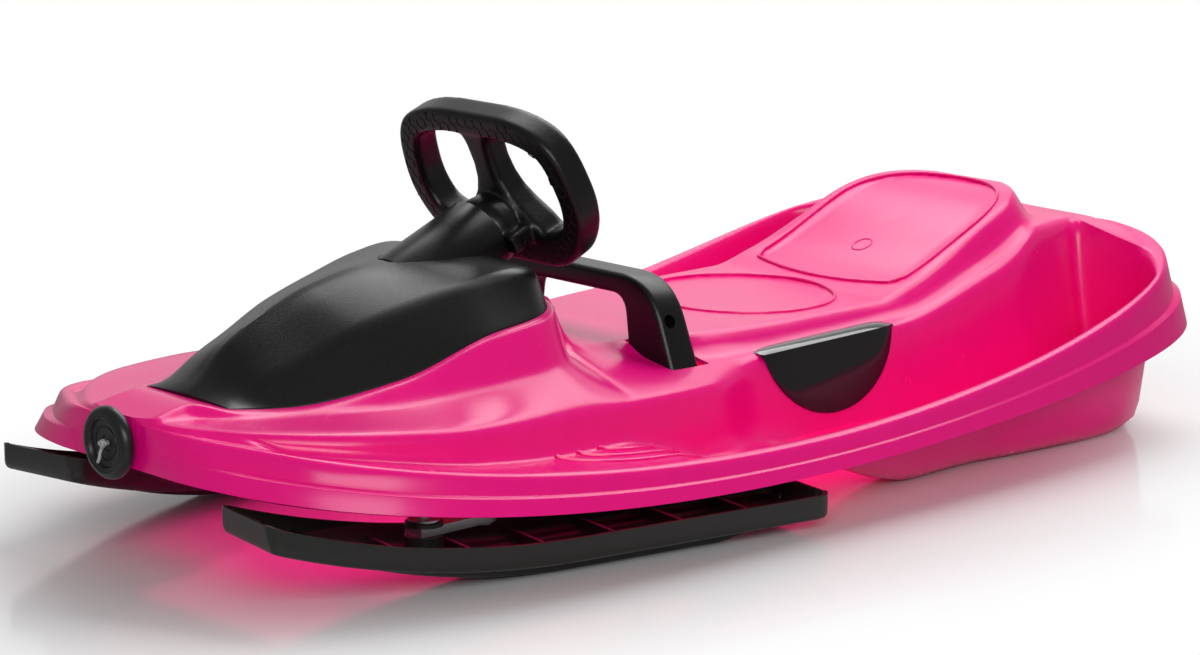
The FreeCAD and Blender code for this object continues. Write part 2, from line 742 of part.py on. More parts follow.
def make_wheel():
    """Closed rim in the wheel's plane, a spoke and a hub that reaches down to the cover."""
    top, low, bottom = size("wheel_top"), -size("wheel_low"), -size("wheel_bottom")
    half, top_half, bottom_half = size("wheel_half"), size("wheel_top_half"), size("wheel_bottom_half")
    bar, spoke, depth = size("wheel_bar"), size("wheel_spoke_half"), size("wheel_depth")
    outer = [Vector(-top_half, top), Vector(top_half, top), Vector(half, low),
             Vector(bottom_half, bottom), Vector(-bottom_half, bottom), Vector(-half, low)]
    body = prism(rounded(outer, [36, 36, 26, 26, 26, 26]), Vector(0, 0, depth))
    hole = [Vector(spoke, top - bar), Vector(top_half - bar + 4, top - bar), Vector(half - bar, low - 2),
            Vector(bottom_half - 12, bottom + bar), Vector(spoke + 20, 12), Vector(spoke, 40)]
    opening = prism(rounded(hole, [10, 18, 12, 8, 12, 8]), Vector(0, 0, depth))
    body = body.cut(opening).cut(opening.mirror(Vector(0, 0, 0), Vector(1, 0, 0)))
    body.translate(Vector(0, 0, -depth / 2))
    hub_end = size("cover_start") - 1.2
    hub = Part.makeCone(size("hub_radius") - 4, size("hub_radius"), hub_end + depth / 2, Vector(0, 0, -depth / 2))
    body = body.fuse(hub)
    bore = Part.makeCylinder(size("shaft_radius") + size("run_gap"), hub_end + size("shaft_top"),
                             Vector(0, 0, -size("shaft_top")))
    bolt = Part.makeCylinder(size("screw_radius") + size("run_gap"), depth, Vector(0, 0, -depth / 2))
    sink = Part.makeCylinder(size("screw_head_radius") + 1, 5, Vector(0, 0, -depth / 2))
    return in_column(body.cut(bore).cut(bolt).cut(sink))


feature("steering_wheel", make_wheel())


def make_shaft():
    length = size("shaft_end") + size("shaft_top") - size("run_gap")
    body = Part.makeCylinder(size("shaft_radius"), length, Vector(0, 0, -size("shaft_top") + size("run_gap")))
    tapped = Part.makeCylinder(size("screw_radius") + size("run_gap"), 16, Vector(0, 0, -size("shaft_top")))
    return in_column(body.cut(tapped))


feature("steering_shaft", make_shaft())


def make_wheel_bolt():
    start = -size("wheel_depth") / 2 + 5
    shank = Part.makeCylinder(size("screw_radius"), 18, Vector(0, 0, start))
    head = Part.makeCylinder(size("screw_head_radius"), size("screw_head"), Vector(0, 0, start - size("screw_head")))
    return in_column(shank.fuse(head))


feature("wheel_bolt", make_wheel_bolt())


def make_crank():
    """An arm on the shaft's lower end that hangs down to the pin."""
    boss, reach, thick = size("crank_boss"), size("crank_radius"), size("crank_thick")
    hub = Part.makeCylinder(boss, thick)
    end = Part.makeCylinder(size("crank_pin_radius") + 5, thick, Vector(0, -reach, 0))
    arm = Part.makeBox(2 * (boss - 6), reach, thick, Vector(-(boss - 6), -reach, 0))
    body = hub.fuse(end).fuse(arm)
    bore = Part.makeCylinder(size("shaft_radius") + size("run_gap"), thick)
    pin_hole = Part.makeCylinder(size("crank_pin_radius") + size("run_gap"), thick, Vector(0, -reach, 0))
    body = body.cut(bore).cut(pin_hole)
    body.translate(Vector(0, 0, size("crank_start")))
    return in_column(body)


feature("steering_crank", make_crank())
rod("crank_pin", "sizes.crank_pin_radius", "sizes.crank_thick + sizes.crank_pin_reach",
    on_column(size("crank_start"), size("crank_radius")), DOWN)

# Skis, in the frame of one kingpin with the ski pointing straight ahead
KINGPIN_X = size("kingpin_x")


def arc_rise(x, radius):
    """Height gained ahead of the flat stretch along an arc of the given radius."""
    ahead = max(0.0, x - size("ski_flat_x"))
    return radius - math.sqrt(radius ** 2 - ahead ** 2)


def ski_floor(x):
    """Height of the ski's underside at hull station x."""
    return size("ski_floor_z") + arc_rise(x, size("ski_bow_radius"))


def bow_line(rear, front, base, radius):
    """A straight run at height base that turns into an arc ahead of the flat stretch."""
    flat = size("ski_flat_x")
    points = [Vector(x, 0, base + arc_rise(x, radius)) for x in (rear, flat, (flat + front) / 2, front)]
    return points, [Part.LineSegment(points[0], points[1]).toShape(), Part.Arc(*points[1:]).toShape()]


def ski_slab(rear, front, low, high, half_width):
    """The ski's side profile between two heights above its underside, as a slab."""
    lower, low_edges = bow_line(rear, front, size("ski_floor_z") + low, size("ski_bow_radius"))
    upper, high_edges = bow_line(rear, front, size("ski_floor_z") + high, size("ski_bow_radius"))
    sides = [Part.LineSegment(lower[0], upper[0]).toShape(), Part.LineSegment(lower[-1], upper[-1]).toShape()]
    return slab(low_edges + high_edges + sides, half_width)


def slab(edges, half_width):
    solid = Part.Face(Part.Wire(Part.__sortEdges__(edges))).extrude(Vector(0, 2 * half_width, 0))
    solid.translate(Vector(0, -half_width, 0))
    return solid


def ski_plan(rear, front, half, corner):
    points = [Vector(rear, -half, 0), Vector(front, -half, 0), Vector(front, half, 0), Vector(rear, half, 0)]
    return prism(rounded(points, [corner] * 4), Vector(0, 0, 200))


def make_keel(rear):
    """A lower step under the ski that runs out into it in front and ramps up at the back."""
    flat, radius, floor = size("ski_flat_x"), size("keel_bow_radius"), size("ski_floor_z")
    meet = math.sqrt(floor / (1 / (2 * radius) - 1 / (2 * size("ski_bow_radius"))))
    front, ramp = flat + 0.93 * meet, size("keel_ramp")
    lower, edges = bow_line(rear + ramp, front, 0, radius)
    upper, roof = bow_line(rear, front, floor + size("ski_wall") / 2, size("ski_bow_radius"))
    heel = Vector(rear, 0, floor)
    edges += roof
    edges.append(Part.LineSegment(lower[0], heel).toShape())
    edges.append(Part.LineSegment(heel, upper[0]).toShape())
    edges.append(Part.LineSegment(lower[-1], upper[-1]).toShape())
    return slab(edges, size("keel_half_width"))


HUB_LOW = ski_floor(KINGPIN_X) + size("ski_wall") / 2
HUB_SEAT = HUB_LOW + size("hub_recess")


def make_ski():
    rear, front = KINGPIN_X - size("ski_rear"), KINGPIN_X + size("ski_front")
    half, wall, corner = size("ski_half_width"), size("ski_wall"), size("ski_corner")
    body = ski_slab(rear, front, 0, size("ski_side"), half).common(ski_plan(rear, front, half, corner))
    inner = half - wall
    hollow = ski_slab(rear, front, wall, size("ski_side") + 20, inner)
    body = body.cut(hollow.common(ski_plan(rear + wall, front - wall, inner, corner - wall)))
    hub_base = Vector(KINGPIN_X, 0, HUB_LOW)
    added = [make_keel(rear + size("keel_heel"))]
    added.append(Part.makeCylinder(size("ski_hub_radius"), size("ski_hub_top_z") - HUB_LOW, hub_base))
    rib = size("rib_thick")
    for i in range(1, 8):
        x = rear + (front - rear) * i / 8
        added.append(block(x - rib / 2, x + rib / 2, -inner - 1, inner + 1, ski_floor(x) + 1,
                           ski_floor(x) + size("rib_height")))
    added.append(block(rear + wall / 2, size("ski_flat_x"), -rib / 2, rib / 2, size("ski_floor_z") + 1,
                       size("ski_floor_z") + size("rib_height")))
    body = body.multiFuse(added)
    bore = Part.makeCylinder(bush_outer() + size("run_gap"), 80, hub_base)
    seat = Part.makeCylinder(size("kingpin_radius") + size("kingpin_head") + 1, HUB_SEAT, Vector(KINGPIN_X, 0, 0))
    return body.cut(bore).cut(seat)


def bush_outer():
    return size("kingpin_radius") + size("run_gap") + size("ski_bush_wall")


def at_kingpin(shape, side, toe):
    """A piece from the middle plane, moved to the kingpin of one side and turned by the toe-in."""
    moved = shape.copy()
    moved.rotate(Vector(KINGPIN_X, 0, 0), Vector(0, 0, 1), -side * toe)
    moved.translate(Vector(0, side * size("kingpin_y"), 0))
    return moved


def make_arm():
    """Steering arm: it lies in a notch of the hub and trails behind the kingpin."""
    half, z0, thick = size("arm_half_width"), size("arm_z"), size("arm_thick")
    body = block(KINGPIN_X - size("arm_length"), KINGPIN_X + 12, -half, half, z0, z0 + thick)
    body = body.fuse(Part.makeCylinder(half, thick, Vector(KINGPIN_X - size("arm_length"), 0, z0)))
    bore = Part.makeCylinder(bush_outer() + size("run_gap"), thick, Vector(KINGPIN_X, 0, z0))
    pin = Part.makeCylinder(size("rod_pin_radius") + size("run_gap"), thick,
                            Vector(KINGPIN_X - size("arm_length"), 0, z0))
    return body.cut(bore).cut(pin)


SKI = make_ski()
ARM = make_arm()
ARM_GAP = 0.1
NOTCH = block(KINGPIN_X - size("arm_length"), KINGPIN_X + 40, -size("arm_half_width") - ARM_GAP,
              size("arm_half_width") + ARM_GAP, size("arm_z"), size("arm_z") + size("arm_thick"))
BUSH_LOW = HUB_SEAT + 0.4
for name, side in (("left", 1), ("right", -1)):
    notch = at_kingpin(NOTCH, side, 0)
    feature(f"ski_{name}", at_kingpin(SKI, side, size("ski_toe_in")).cut(notch))
    feature(f"ski_arm_{name}", at_kingpin(ARM, side, 0))
    bush_base = Vector(KINGPIN_X, side * size("kingpin_y"), BUSH_LOW)
    ring(f"ski_bush_{name}", "sizes.kingpin_radius + sizes.run_gap + sizes.ski_bush_wall",
         "sizes.kingpin_radius + sizes.run_gap", f"sizes.ski_hub_top_z - {BUSH_LOW}", bush_base, Vector(0, 0, 1))


def make_kingpin(centre):
    """A headed pin: the head holds the ski from below, the shank is driven into the post."""
    thick = size("kingpin_head_thick")
    base = centre + Vector(0, 0, HUB_SEAT - 0.2 - thick)
    head = Part.makeCylinder(size("kingpin_radius") + size("kingpin_head"), thick, base)
    length = size("post_low_z") + size("kingpin_grip") - base.z
    return head.fuse(Part.makeCylinder(size("kingpin_radius"), length, base))


feature("kingpins", Part.makeCompound([make_kingpin(c) for c in kingpin_centres()]))
washers = []
for i, centre in enumerate(kingpin_centres()):
    washer = doc.addObject("Part::Cut", f"kingpin_washer_{i}")
    base = centre + Vector(0, 0, size("post_low_z") - size("washer_thick"))
    washer.Base = turned(f"washer_body_{i}", "sizes.post_low_radius", "sizes.washer_thick", base, Vector(0, 0, 1))
    washer.Tool = turned(f"washer_bore_{i}", "sizes.kingpin_radius + sizes.run_gap", "sizes.washer_thick", base,
                         Vector(0, 0, 1))
    washers.append(washer)
group("kingpin_washers", washers)

# Tie rod with the upright slotted tab that the crank pin works in
ROD_X = KINGPIN_X - size("arm_length")
ROD_Z = size("arm_z") + size("arm_thick") + size("joint_gap")
PIN_AT_ROD = on_column((ROD_X - WHEEL_CENTRE.x + size("crank_radius") * math.sin(TILT)) / math.cos(TILT),
                       size("crank_radius"))


def make_tie_rod():
    half, thick, reach = size("rod_half_width"), size("rod_thick"), size("kingpin_y")
    body = block(ROD_X - half, ROD_X + half, -reach, reach, ROD_Z, ROD_Z + thick)
    for y in (reach, -reach):
        body = body.fuse(Part.makeCylinder(half, thick, Vector(ROD_X, y, ROD_Z)))
        body = body.cut(Part.makeCylinder(size("rod_pin_radius") + size("run_gap"), thick, Vector(ROD_X, y, ROD_Z)))
    tab_half, tab_thick = size("tab_half_width"), size("tab_thick")
    tab = block(ROD_X - tab_thick / 2, ROD_X + tab_thick / 2, -tab_half, tab_half, ROD_Z, size("tab_top_z"))
    slot_half = size("crank_pin_radius") + size("slot_side_gap")
    low = PIN_AT_ROD.z - size("slot_reach") + 2
    slot = block(ROD_X - tab_thick, ROD_X + tab_thick, -slot_half, slot_half, low, size("tab_top_z") + 1)
    return body.fuse(tab).cut(slot)


feature("tie_rod", make_tie_rod())


def make_rod_pin(y):
    low = size("arm_z") - 3
    shank = Part.makeCylinder(size("rod_pin_radius"), ROD_Z + size("rod_thick") + 1 - low, Vector(ROD_X, y, low))
    head = Part.makeCylinder(size("rod_pin_radius") + 3, 3 - 0.2, Vector(ROD_X, y, low))
    return shank.fuse(head)


for name, side in (("left", 1), ("right", -1)):
    feature(f"rod_pin_{name}", make_rod_pin(side * size("kingpin_y")))


# Brake: an arch over the saddle, claws below the deck, an axle and its spring
BRAKE = Vector(size("brake_x"), 0, size("brake_z"))


def arch_outline(half, top_half, low, top, corner):
    """An arch in front view: two legs that lean in towards a bar with rounded corners."""
    points = [Vector(0, -half, low), Vector(0, -top_half, top), Vector(0, top_half, top), Vector(0, half, low)]
    body = prism(rounded(points, [0.0, corner, corner, 0.0]), Vector(2 * size("brake_leg_half"), 0, 0))
    body.translate(Vector(size("brake_x") - size("brake_leg_half"), 0, 0))
    return body


def make_arch():
    """Front view cut to an arch, side view to a taper, a round barrel at each foot."""
    outer, inner, top = size("brake_outer_half"), size("brake_inner_half"), size("brake_top_z")
    half, top_half, low, x = (size("brake_leg_half"), size("brake_top_half_depth"), size("brake_z"), size("brake_x"))
    body = arch_outline(outer, size("brake_outer_top_half"), low, top, size("brake_corner"))
    body = body.cut(arch_outline(inner, size("brake_inner_top_half"), low - 1, top - size("brake_bar"),
                                 size("brake_inner_corner")))
    side = [Vector(x - half, -outer, low), Vector(x + half, -outer, low),
            Vector(x + top_half, -outer, top), Vector(x - top_half, -outer, top)]
    body = body.common(prism(Part.makePolygon(side + side[:1]), Vector(0, 2 * outer, 0)))
    width = outer - inner
    for y0 in (inner, -outer):
        body = body.fuse(Part.makeCylinder(half, width, Vector(x, y0, low), Vector(0, 1, 0)))
    return body.cut(Part.makeCylinder(size("brake_axle_radius") + size("run_gap"), 2 * outer,
                                      Vector(x, -outer, low), Vector(0, 1, 0)))


feature("brake_arch", make_arch())


def make_claw():
    """Two tines on a hub in the middle of the axle, pointing back and down."""
    width, gap, thick = size("claw_width") / 2, size("claw_gap"), size("claw_thick")
    tip = BRAKE + Vector(-size("claw_reach"), 0, -size("claw_drop"))
    way = (tip - BRAKE).normalize()
    side = Vector(way.z, 0, -way.x)
    points = [BRAKE + side * width, tip + side * 3, tip - side * 3, BRAKE - side * width]
    hub_half = gap + thick + 2
    body = Part.makeCylinder(size("claw_hub_radius"), 2 * hub_half, BRAKE - Vector(0, hub_half, 0), Vector(0, 1, 0))
    for y0 in (gap, -gap - thick):
        plate = prism(Part.makePolygon(points + points[:1]), Vector(0, thick, 0))
        plate.translate(Vector(0, y0, 0))
        body = body.fuse(plate)
    bore = Part.makeCylinder(size("brake_axle_radius") + size("run_gap"), 2 * hub_half,
                             BRAKE - Vector(0, hub_half, 0), Vector(0, 1, 0))
    return body.cut(bore)


feature("brake_claw", make_claw())
AXLE_HALF = size("brake_outer_half") - 2
rod("brake_axle", "sizes.brake_axle_radius", "2 * (sizes.brake_outer_half - 2)",
    BRAKE - Vector(0, AXLE_HALF, 0), Vector(0, 1, 0))
springs = []
for name, y0 in (("left", size("spring_gap")), ("right", -size("spring_gap") - size("spring_length"))):
    coil = doc.addObject("Part::Cut", f"spring_{name}")
    base = BRAKE + Vector(0, y0, 0)
    coil.Base = turned(f"spring_body_{name}", "sizes.brake_axle_radius + sizes.seat_gap + sizes.spring_wire",
                       "sizes.spring_length", base, Vector(0, 1, 0))
    coil.Tool = turned(f"spring_bore_{name}", "sizes.brake_axle_radius + sizes.seat_gap", "sizes.spring_length",
                       base, Vector(0, 1, 0))
    springs.append(coil)
group("brake_springs", springs)

# Tow reel in the nose: two housing halves, axle, drum, cord and the round handle
REEL = Vector(REEL_X, 0, size("tow_z") - size("drum_winding_radius"))
REEL_INNER_HALF = size("drum_half_width") + size("reel_gap")


def make_housing(side):
    radius, wall, half = reel_outer_radius(), size("reel_wall"), REEL_INNER_HALF
    body = Part.makeCylinder(radius, half + wall, REEL, Vector(0, side, 0))
    body = body.cut(Part.makeCylinder(radius - wall, half, REEL, Vector(0, side, 0)))
    bore_radius = size("reel_axle_radius") + size("run_gap")
    body = body.cut(Part.makeCylinder(bore_radius, half + wall, REEL, Vector(0, side, 0)))
    mouth = block(REEL.x, REEL.x + radius + 1, -6, 6, size("tow_z") - 6, size("tow_z") + 6)
    return body.cut(mouth)


feature("reel_housing_left", make_housing(1))
feature("reel_housing_right", make_housing(-1))
rod("reel_axle", "sizes.reel_axle_radius", "2 * (sizes.drum_half_width + sizes.reel_gap + sizes.reel_wall)",
    REEL - Vector(0, REEL_INNER_HALF + size("reel_wall"), 0), Vector(0, 1, 0))


def make_drum():
    half, flange = size("drum_half_width"), 3
    core = Part.makeCylinder(size("drum_core_radius"), 2 * half, REEL - Vector(0, half, 0), Vector(0, 1, 0))
    for y in (-half, half - flange):
        disc = Part.makeCylinder(size("drum_flange_radius"), flange, REEL + Vector(0, y, 0), Vector(0, 1, 0))
        core = core.fuse(disc)
    bore = Part.makeCylinder(size("reel_axle_radius") + size("run_gap"), 2 * half, REEL - Vector(0, half, 0),
                             Vector(0, 1, 0))
    return core.cut(bore)


feature("reel_drum", make_drum())
ring("cord_winding", "sizes.drum_winding_radius - sizes.cord_radius - sizes.seat_gap",
     "sizes.drum_core_radius + sizes.run_gap", "2 * sizes.drum_half_width - 6 - 2 * sizes.run_gap",
     REEL - Vector(0, size("drum_half_width") - 3 - size("run_gap"), 0), Vector(0, 1, 0))


def make_nose_bush():
    base = Vector(BOW_END - WALL - 2, 0, size("tow_z"))
    body = Part.makeCylinder(size("bush_radius"), WALL + 2 + size("bush_flange"), base, Vector(1, 0, 0))
    flange = Part.makeCylinder(size("bush_radius") + 4, size("bush_flange"), Vector(BOW_END, 0, size("tow_z")),
                               Vector(1, 0, 0))
    bore = Part.makeCylinder(size("cord_radius") + 0.4, 60, base - Vector(10, 0, 0), Vector(1, 0, 0))
    return body.fuse(flange).cut(bore)


feature("nose_bush", make_nose_bush())


def make_handle():
    """A round grip with a dished front, rounded at its edges."""
    base = Vector(HANDLE_REAR_X, 0, size("tow_z"))
    way = Vector(1, 0, 0)
    body = Part.makeCylinder(size("handle_radius"), size("handle_thick"), base, way)
    rims = [e for e in body.Edges if e.Curve.TypeId == "Part::GeomCircle"]
    body = body.makeFillet(6, rims)
    front = base + way * size("handle_thick")
    dish = Part.makeCylinder(size("handle_radius") - 9, size("handle_dish"), front - way * size("handle_dish"), way)
    bore = Part.makeCylinder(size("cord_radius") + size("run_gap"), 60, base - way * 10, way)
    return body.cut(dish).cut(bore)


feature("tow_handle", make_handle())
KNOT_X = HANDLE_REAR_X + size("handle_thick") - size("handle_dish")
rod("tow_cord", "sizes.cord_radius", f"{KNOT_X - REEL_X}", Vector(REEL_X, 0, size("tow_z")),
    Vector(1, 0, 0))


def make_knot():
    centre = Vector(KNOT_X + size("knot_radius"), 0, size("tow_z"))
    knot = Part.makeSphere(size("knot_radius"), centre)
    knot = knot.cut(block(0, KNOT_X, -20, 20, 0, 2 * size("tow_z")))
    tail_way = Vector(0.1, -0.3, -0.95).normalize()
    tail = Part.makeCylinder(size("cord_radius") * 0.8, size("tail_length"), centre, tail_way)
    return knot.fuse(tail)


feature("cord_knot", make_knot())


# Glossy half-moon covers on the outer walls of the bench, with a lip over the shoulder
def make_side_cover():
    """A half-moon plate along the wall and a lip that follows the shoulder's slope."""
    x, half, drop, thick = (size("side_cover_x"), size("side_cover_half"), size("side_cover_drop"),
                            size("side_cover_thick"))
    slope, gap, edge = size("inner_wall_slope"), size("seat_gap"), size("shoulder_half")
    out = Vector(0, 1, slope).normalize()
    down = Vector(0, slope, -1).normalize()
    lift = max(line(p, CREASE_RISE) for p in (x - half, x + half)) + gap
    rear = Vector(x - half, edge, line(x - half, SHOULDER_Z) + lift)
    front = Vector(x + half, edge, line(x + half, SHOULDER_Z) + lift)
    rear_out, front_out = rear + out * gap, front + out * gap
    middle = (rear_out + front_out) * 0.5
    arc = Part.Arc(front_out, middle + down * drop, rear_out)
    chord = Part.LineSegment(rear_out, front_out)
    plate = Part.Face(Part.Wire([arc.toShape(), chord.toShape()])).extrude(out * thick)
    inset = (front - rear).normalize() * 4
    ends = [rear + inset, front - inset, front - inset + Vector(0, 0, thick), rear + inset + Vector(0, 0, thick)]
    lip = prism(Part.makePolygon(ends + ends[:1]), Vector(0, size("side_cover_lip") + 3, 0))
    lip.translate(Vector(0, -size("side_cover_lip"), 0))
    return plate.fuse(lip)


SIDE_COVER = make_side_cover()
feature("side_cover_left", SIDE_COVER)
feature("side_cover_right", mirrored(SIDE_COVER))

doc.recompute()
os.makedirs("parts", exist_ok=True)
for obj in doc.Objects:
    if "Invalid" in obj.State or "Error" in obj.State:
        raise RuntimeError(f"{obj.Label} did not build: {obj.State}")
for obj in nodes:
    if obj.Shape.isNull() or not obj.Shape.isValid():
        raise RuntimeError(f"{obj.Label} has no valid shape")
    box = obj.Shape.BoundBox
    print(f"{obj.Label}: {len(obj.Shape.Solids)} solid(s), {obj.Shape.Volume / 1000:.1f} cm3, "
          f"x {box.XMin:.0f} {box.XMax:.0f} y {box.YMin:.0f} {box.YMax:.0f} z {box.ZMin:.1f} {box.ZMax:.1f}")
for obj in nodes:
    obj.Shape.exportStep(f"parts/{obj.Label}.step")
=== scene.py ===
import bpy
import math
from mathutils import Matrix, Vector


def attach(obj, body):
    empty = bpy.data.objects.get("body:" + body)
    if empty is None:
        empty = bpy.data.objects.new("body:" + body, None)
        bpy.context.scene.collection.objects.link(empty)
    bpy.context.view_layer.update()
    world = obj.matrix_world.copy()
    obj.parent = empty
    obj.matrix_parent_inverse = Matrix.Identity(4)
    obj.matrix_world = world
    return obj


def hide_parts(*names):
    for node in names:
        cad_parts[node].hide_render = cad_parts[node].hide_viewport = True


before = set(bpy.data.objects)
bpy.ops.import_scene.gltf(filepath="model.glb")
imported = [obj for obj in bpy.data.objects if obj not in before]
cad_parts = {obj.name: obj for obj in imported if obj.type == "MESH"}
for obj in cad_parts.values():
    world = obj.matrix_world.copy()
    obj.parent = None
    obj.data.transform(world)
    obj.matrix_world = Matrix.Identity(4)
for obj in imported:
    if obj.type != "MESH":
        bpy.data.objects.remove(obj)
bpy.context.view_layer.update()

# Studio: a white glossy floor that fades into a white room, a large soft lamp from
# above, others in front and behind, and the camera of the photograph.
FLOOR_WHITE, FLOOR_ROUGHNESS, FLOOR_BOUNCE = 0.9, 0.13, 0.3
FOOTPRINT, FADE_START, FADE_END = (1.6, 2.9, 0), 0.85, 1.7
WALL_WAY, WALL_START, WALL_END = (-0.66, -0.73, 0.18), 0.6, 0.98
ROOM_LIGHT, WALL_LIGHT = 0.24, 0.68
CAMERA_PLACE, CAMERA_LENS = (2.2971, 2.4903, 0.8732), 109.43
CAMERA_YAW, CAMERA_PITCH = math.radians(-132.53), math.radians(-12.19)


def start_fresh():
    """Leaves edit mode and every object out of the selection."""
    if bpy.context.object and bpy.context.object.mode != "OBJECT":
        bpy.ops.object.mode_set(mode="OBJECT")
    bpy.ops.object.select_all(action="DESELECT")


start_fresh()
bpy.ops.mesh.primitive_plane_add(size=40, location=(0, 0, -0.0005))
floor = bpy.context.object
floor.name = "studio_floor"
floor_paint = bpy.data.materials.new("studio_floor")
floor_paint.use_nodes = True
nodes, links = floor_paint.node_tree.nodes, floor_paint.node_tree.links
gloss_floor = nodes["Principled BSDF"]
gloss_floor.inputs["Base Color"].default_value = (FLOOR_WHITE, FLOOR_WHITE, FLOOR_WHITE, 1)
gloss_floor.inputs["Roughness"].default_value = FLOOR_ROUGHNESS
far_white = nodes.new("ShaderNodeEmission")
far_white.inputs["Color"].default_value = (1, 1, 1, 1)
ray = nodes.new("ShaderNodeLightPath")
glow = nodes.new("ShaderNodeMapRange")
glow.inputs["To Min"].default_value = FLOOR_BOUNCE
glow.inputs["To Max"].default_value = 1.0
links.new(ray.outputs["Is Camera Ray"], glow.inputs["Value"])
links.new(glow.outputs["Result"], far_white.inputs["Strength"])
place = nodes.new("ShaderNodeTexCoord")
footprint = nodes.new("ShaderNodeVectorMath")
footprint.operation = "MULTIPLY"
footprint.inputs[1].default_value = FOOTPRINT
links.new(place.outputs["Object"], footprint.inputs[0])
away = nodes.new("ShaderNodeVectorMath")
away.operation = "LENGTH"
links.new(footprint.outputs["Vector"], away.inputs[0])
fade = nodes.new("ShaderNodeMapRange")
fade.interpolation_type = "SMOOTHSTEP"
fade.inputs["From Min"].default_value = FADE_START
fade.inputs["From Max"].default_value = FADE_END
links.new(away.outputs["Value"], fade.inputs["Value"])
blend = nodes.new("ShaderNodeMixShader")
links.new(fade.outputs["Result"], blend.inputs["Fac"])
links.new(gloss_floor.outputs[0], blend.inputs[1])
links.new(far_white.outputs[0], blend.inputs[2])
links.new(blend.outputs[0], nodes["Material Output"].inputs["Surface"])
floor.data.materials.append(floor_paint)

room = bpy.data.worlds.new("studio_room")
bpy.context.scene.world = room
room.use_nodes = True
nodes, links = room.node_tree.nodes, room.node_tree.links
soft_light = nodes["Background"]
soft_light.inputs["Color"].default_value = (1, 1, 1, 1)
aim = nodes.new("ShaderNodeTexCoord")
behind = nodes.new("ShaderNodeVectorMath")
behind.operation = "DOT_PRODUCT"
behind.inputs[1].default_value = WALL_WAY
links.new(aim.outputs["Generated"], behind.inputs[0])
wall_light = nodes.new("ShaderNodeMapRange")
wall_light.interpolation_type = "SMOOTHSTEP"
wall_light.inputs["From Min"].default_value = WALL_START
wall_light.inputs["From Max"].default_value = WALL_END
wall_light.inputs["To Min"].default_value = ROOM_LIGHT
wall_light.inputs["To Max"].default_value = WALL_LIGHT
links.new(behind.outputs["Value"], wall_light.inputs["Value"])
links.new(wall_light.outputs["Result"], soft_light.inputs["Strength"])
white_wall = nodes.new("ShaderNodeBackground")
white_wall.inputs["Color"].default_value = (1, 1, 1, 1)
white_wall.inputs["Strength"].default_value = 1.0
path = nodes.new("ShaderNodeLightPath")
choose = nodes.new("ShaderNodeMixShader")
links.new(path.outputs["Is Camera Ray"], choose.inputs["Fac"])
links.new(soft_light.outputs[0], choose.inputs[1])
links.new(white_wall.outputs[0], choose.inputs[2])
links.new(choose.outputs[0], nodes["World Output"].inputs["Surface"])


def soft_box(name, place, aim, size, power, tint=(1, 1, 1)):
    """A rectangular lamp that points at the aim."""
    lamp = bpy.data.lights.new(name, "AREA")
    lamp.shape = "RECTANGLE"
    lamp.size, lamp.size_y = size
    lamp.energy = power
    lamp.color = tint
    body = bpy.data.objects.new(name, lamp)
    bpy.context.scene.collection.objects.link(body)
    body.location = place
    body.rotation_euler = (Vector(aim) - Vector(place)).to_track_quat("-Z", "Y").to_euler()


soft_box("top_box", (-1.2, -0.5, 2.1), (0, 0, 0), (2.2, 1.6), 45)
soft_box("side_box", (1.8, 2.5, 1.5), (0, 0, 0.1), (2.2, 1.0), 45)
soft_box("back_box", (-2.0, -1.6, 1.3), (0, 0, 0.1), (1.8, 1.2), 3)

# The thin pink hull lets light through to the floor below it
soft_box("hull_glow", (0.05, 0, 0.05), (0.05, 0, 0), (0.85, 0.34), 0.7, (1.0, 0.02, 0.26))

camera = bpy.data.objects.new("camera", bpy.data.cameras.new("camera"))
bpy.context.scene.collection.objects.link(camera)
bpy.context.scene.camera = camera
camera.location = CAMERA_PLACE
looks = Vector((math.cos(CAMERA_PITCH) * math.cos(CAMERA_YAW),
                math.cos(CAMERA_PITCH) * math.sin(CAMERA_YAW), math.sin(CAMERA_PITCH)))
camera.rotation_euler = looks.to_track_quat("-Z", "Y").to_euler()
camera.data.lens = CAMERA_LENS
camera.data.sensor_width = 36
camera.data.clip_end = 100
bpy.context.scene.view_settings.view_transform = "Standard"

# Hull: one thin moulding in glossy pink polyethylene. Its deck carries the hood's seat,
# a saddle and a bench; foot channels run back into two deep side wells that are its runners.
MM = 0.001
HULL_HALF, SHEER_X, SKIN = 298, 10, 4
BOW_END, BOW_REACH, BOW_POWER = 567, 570, 3.2
STERN_END, STERN_REACH, STERN_POWER = -588, 591, 6.5
RIM_LOW, RIM_BOW_RISE, RIM_STERN_RISE = 86, 59, 101.9
SKIRT_LOW, SKIRT_BOW_RISE, SKIRT_STERN_RISE = 57, 48.1, 55.4
HOOD_FRONT, HOOD_WIDE, HOOD_REAR = 495, 235, 140
HOOD_FRONT_HALF, HOOD_HALF, HOOD_TAIL = 60, 126, 2.4
BEZEL, BEZEL_LEAST, NOSE_HALF = 9, 64, 42
TONGUE_X, TONGUE_HALF, TONGUE_POWER, TONGUE_STEP = -400, 112, 2.2, 13
TONGUE_TAIL, TONGUE_FOOT_TAIL = -513, -531
RIM_SHARE, SHOULDER_SHARE, WALL_LEAN = 0.25, 0.84, 0.2
WELL_FRONT, WELL_REAR = (526, 500), (-549, -531)


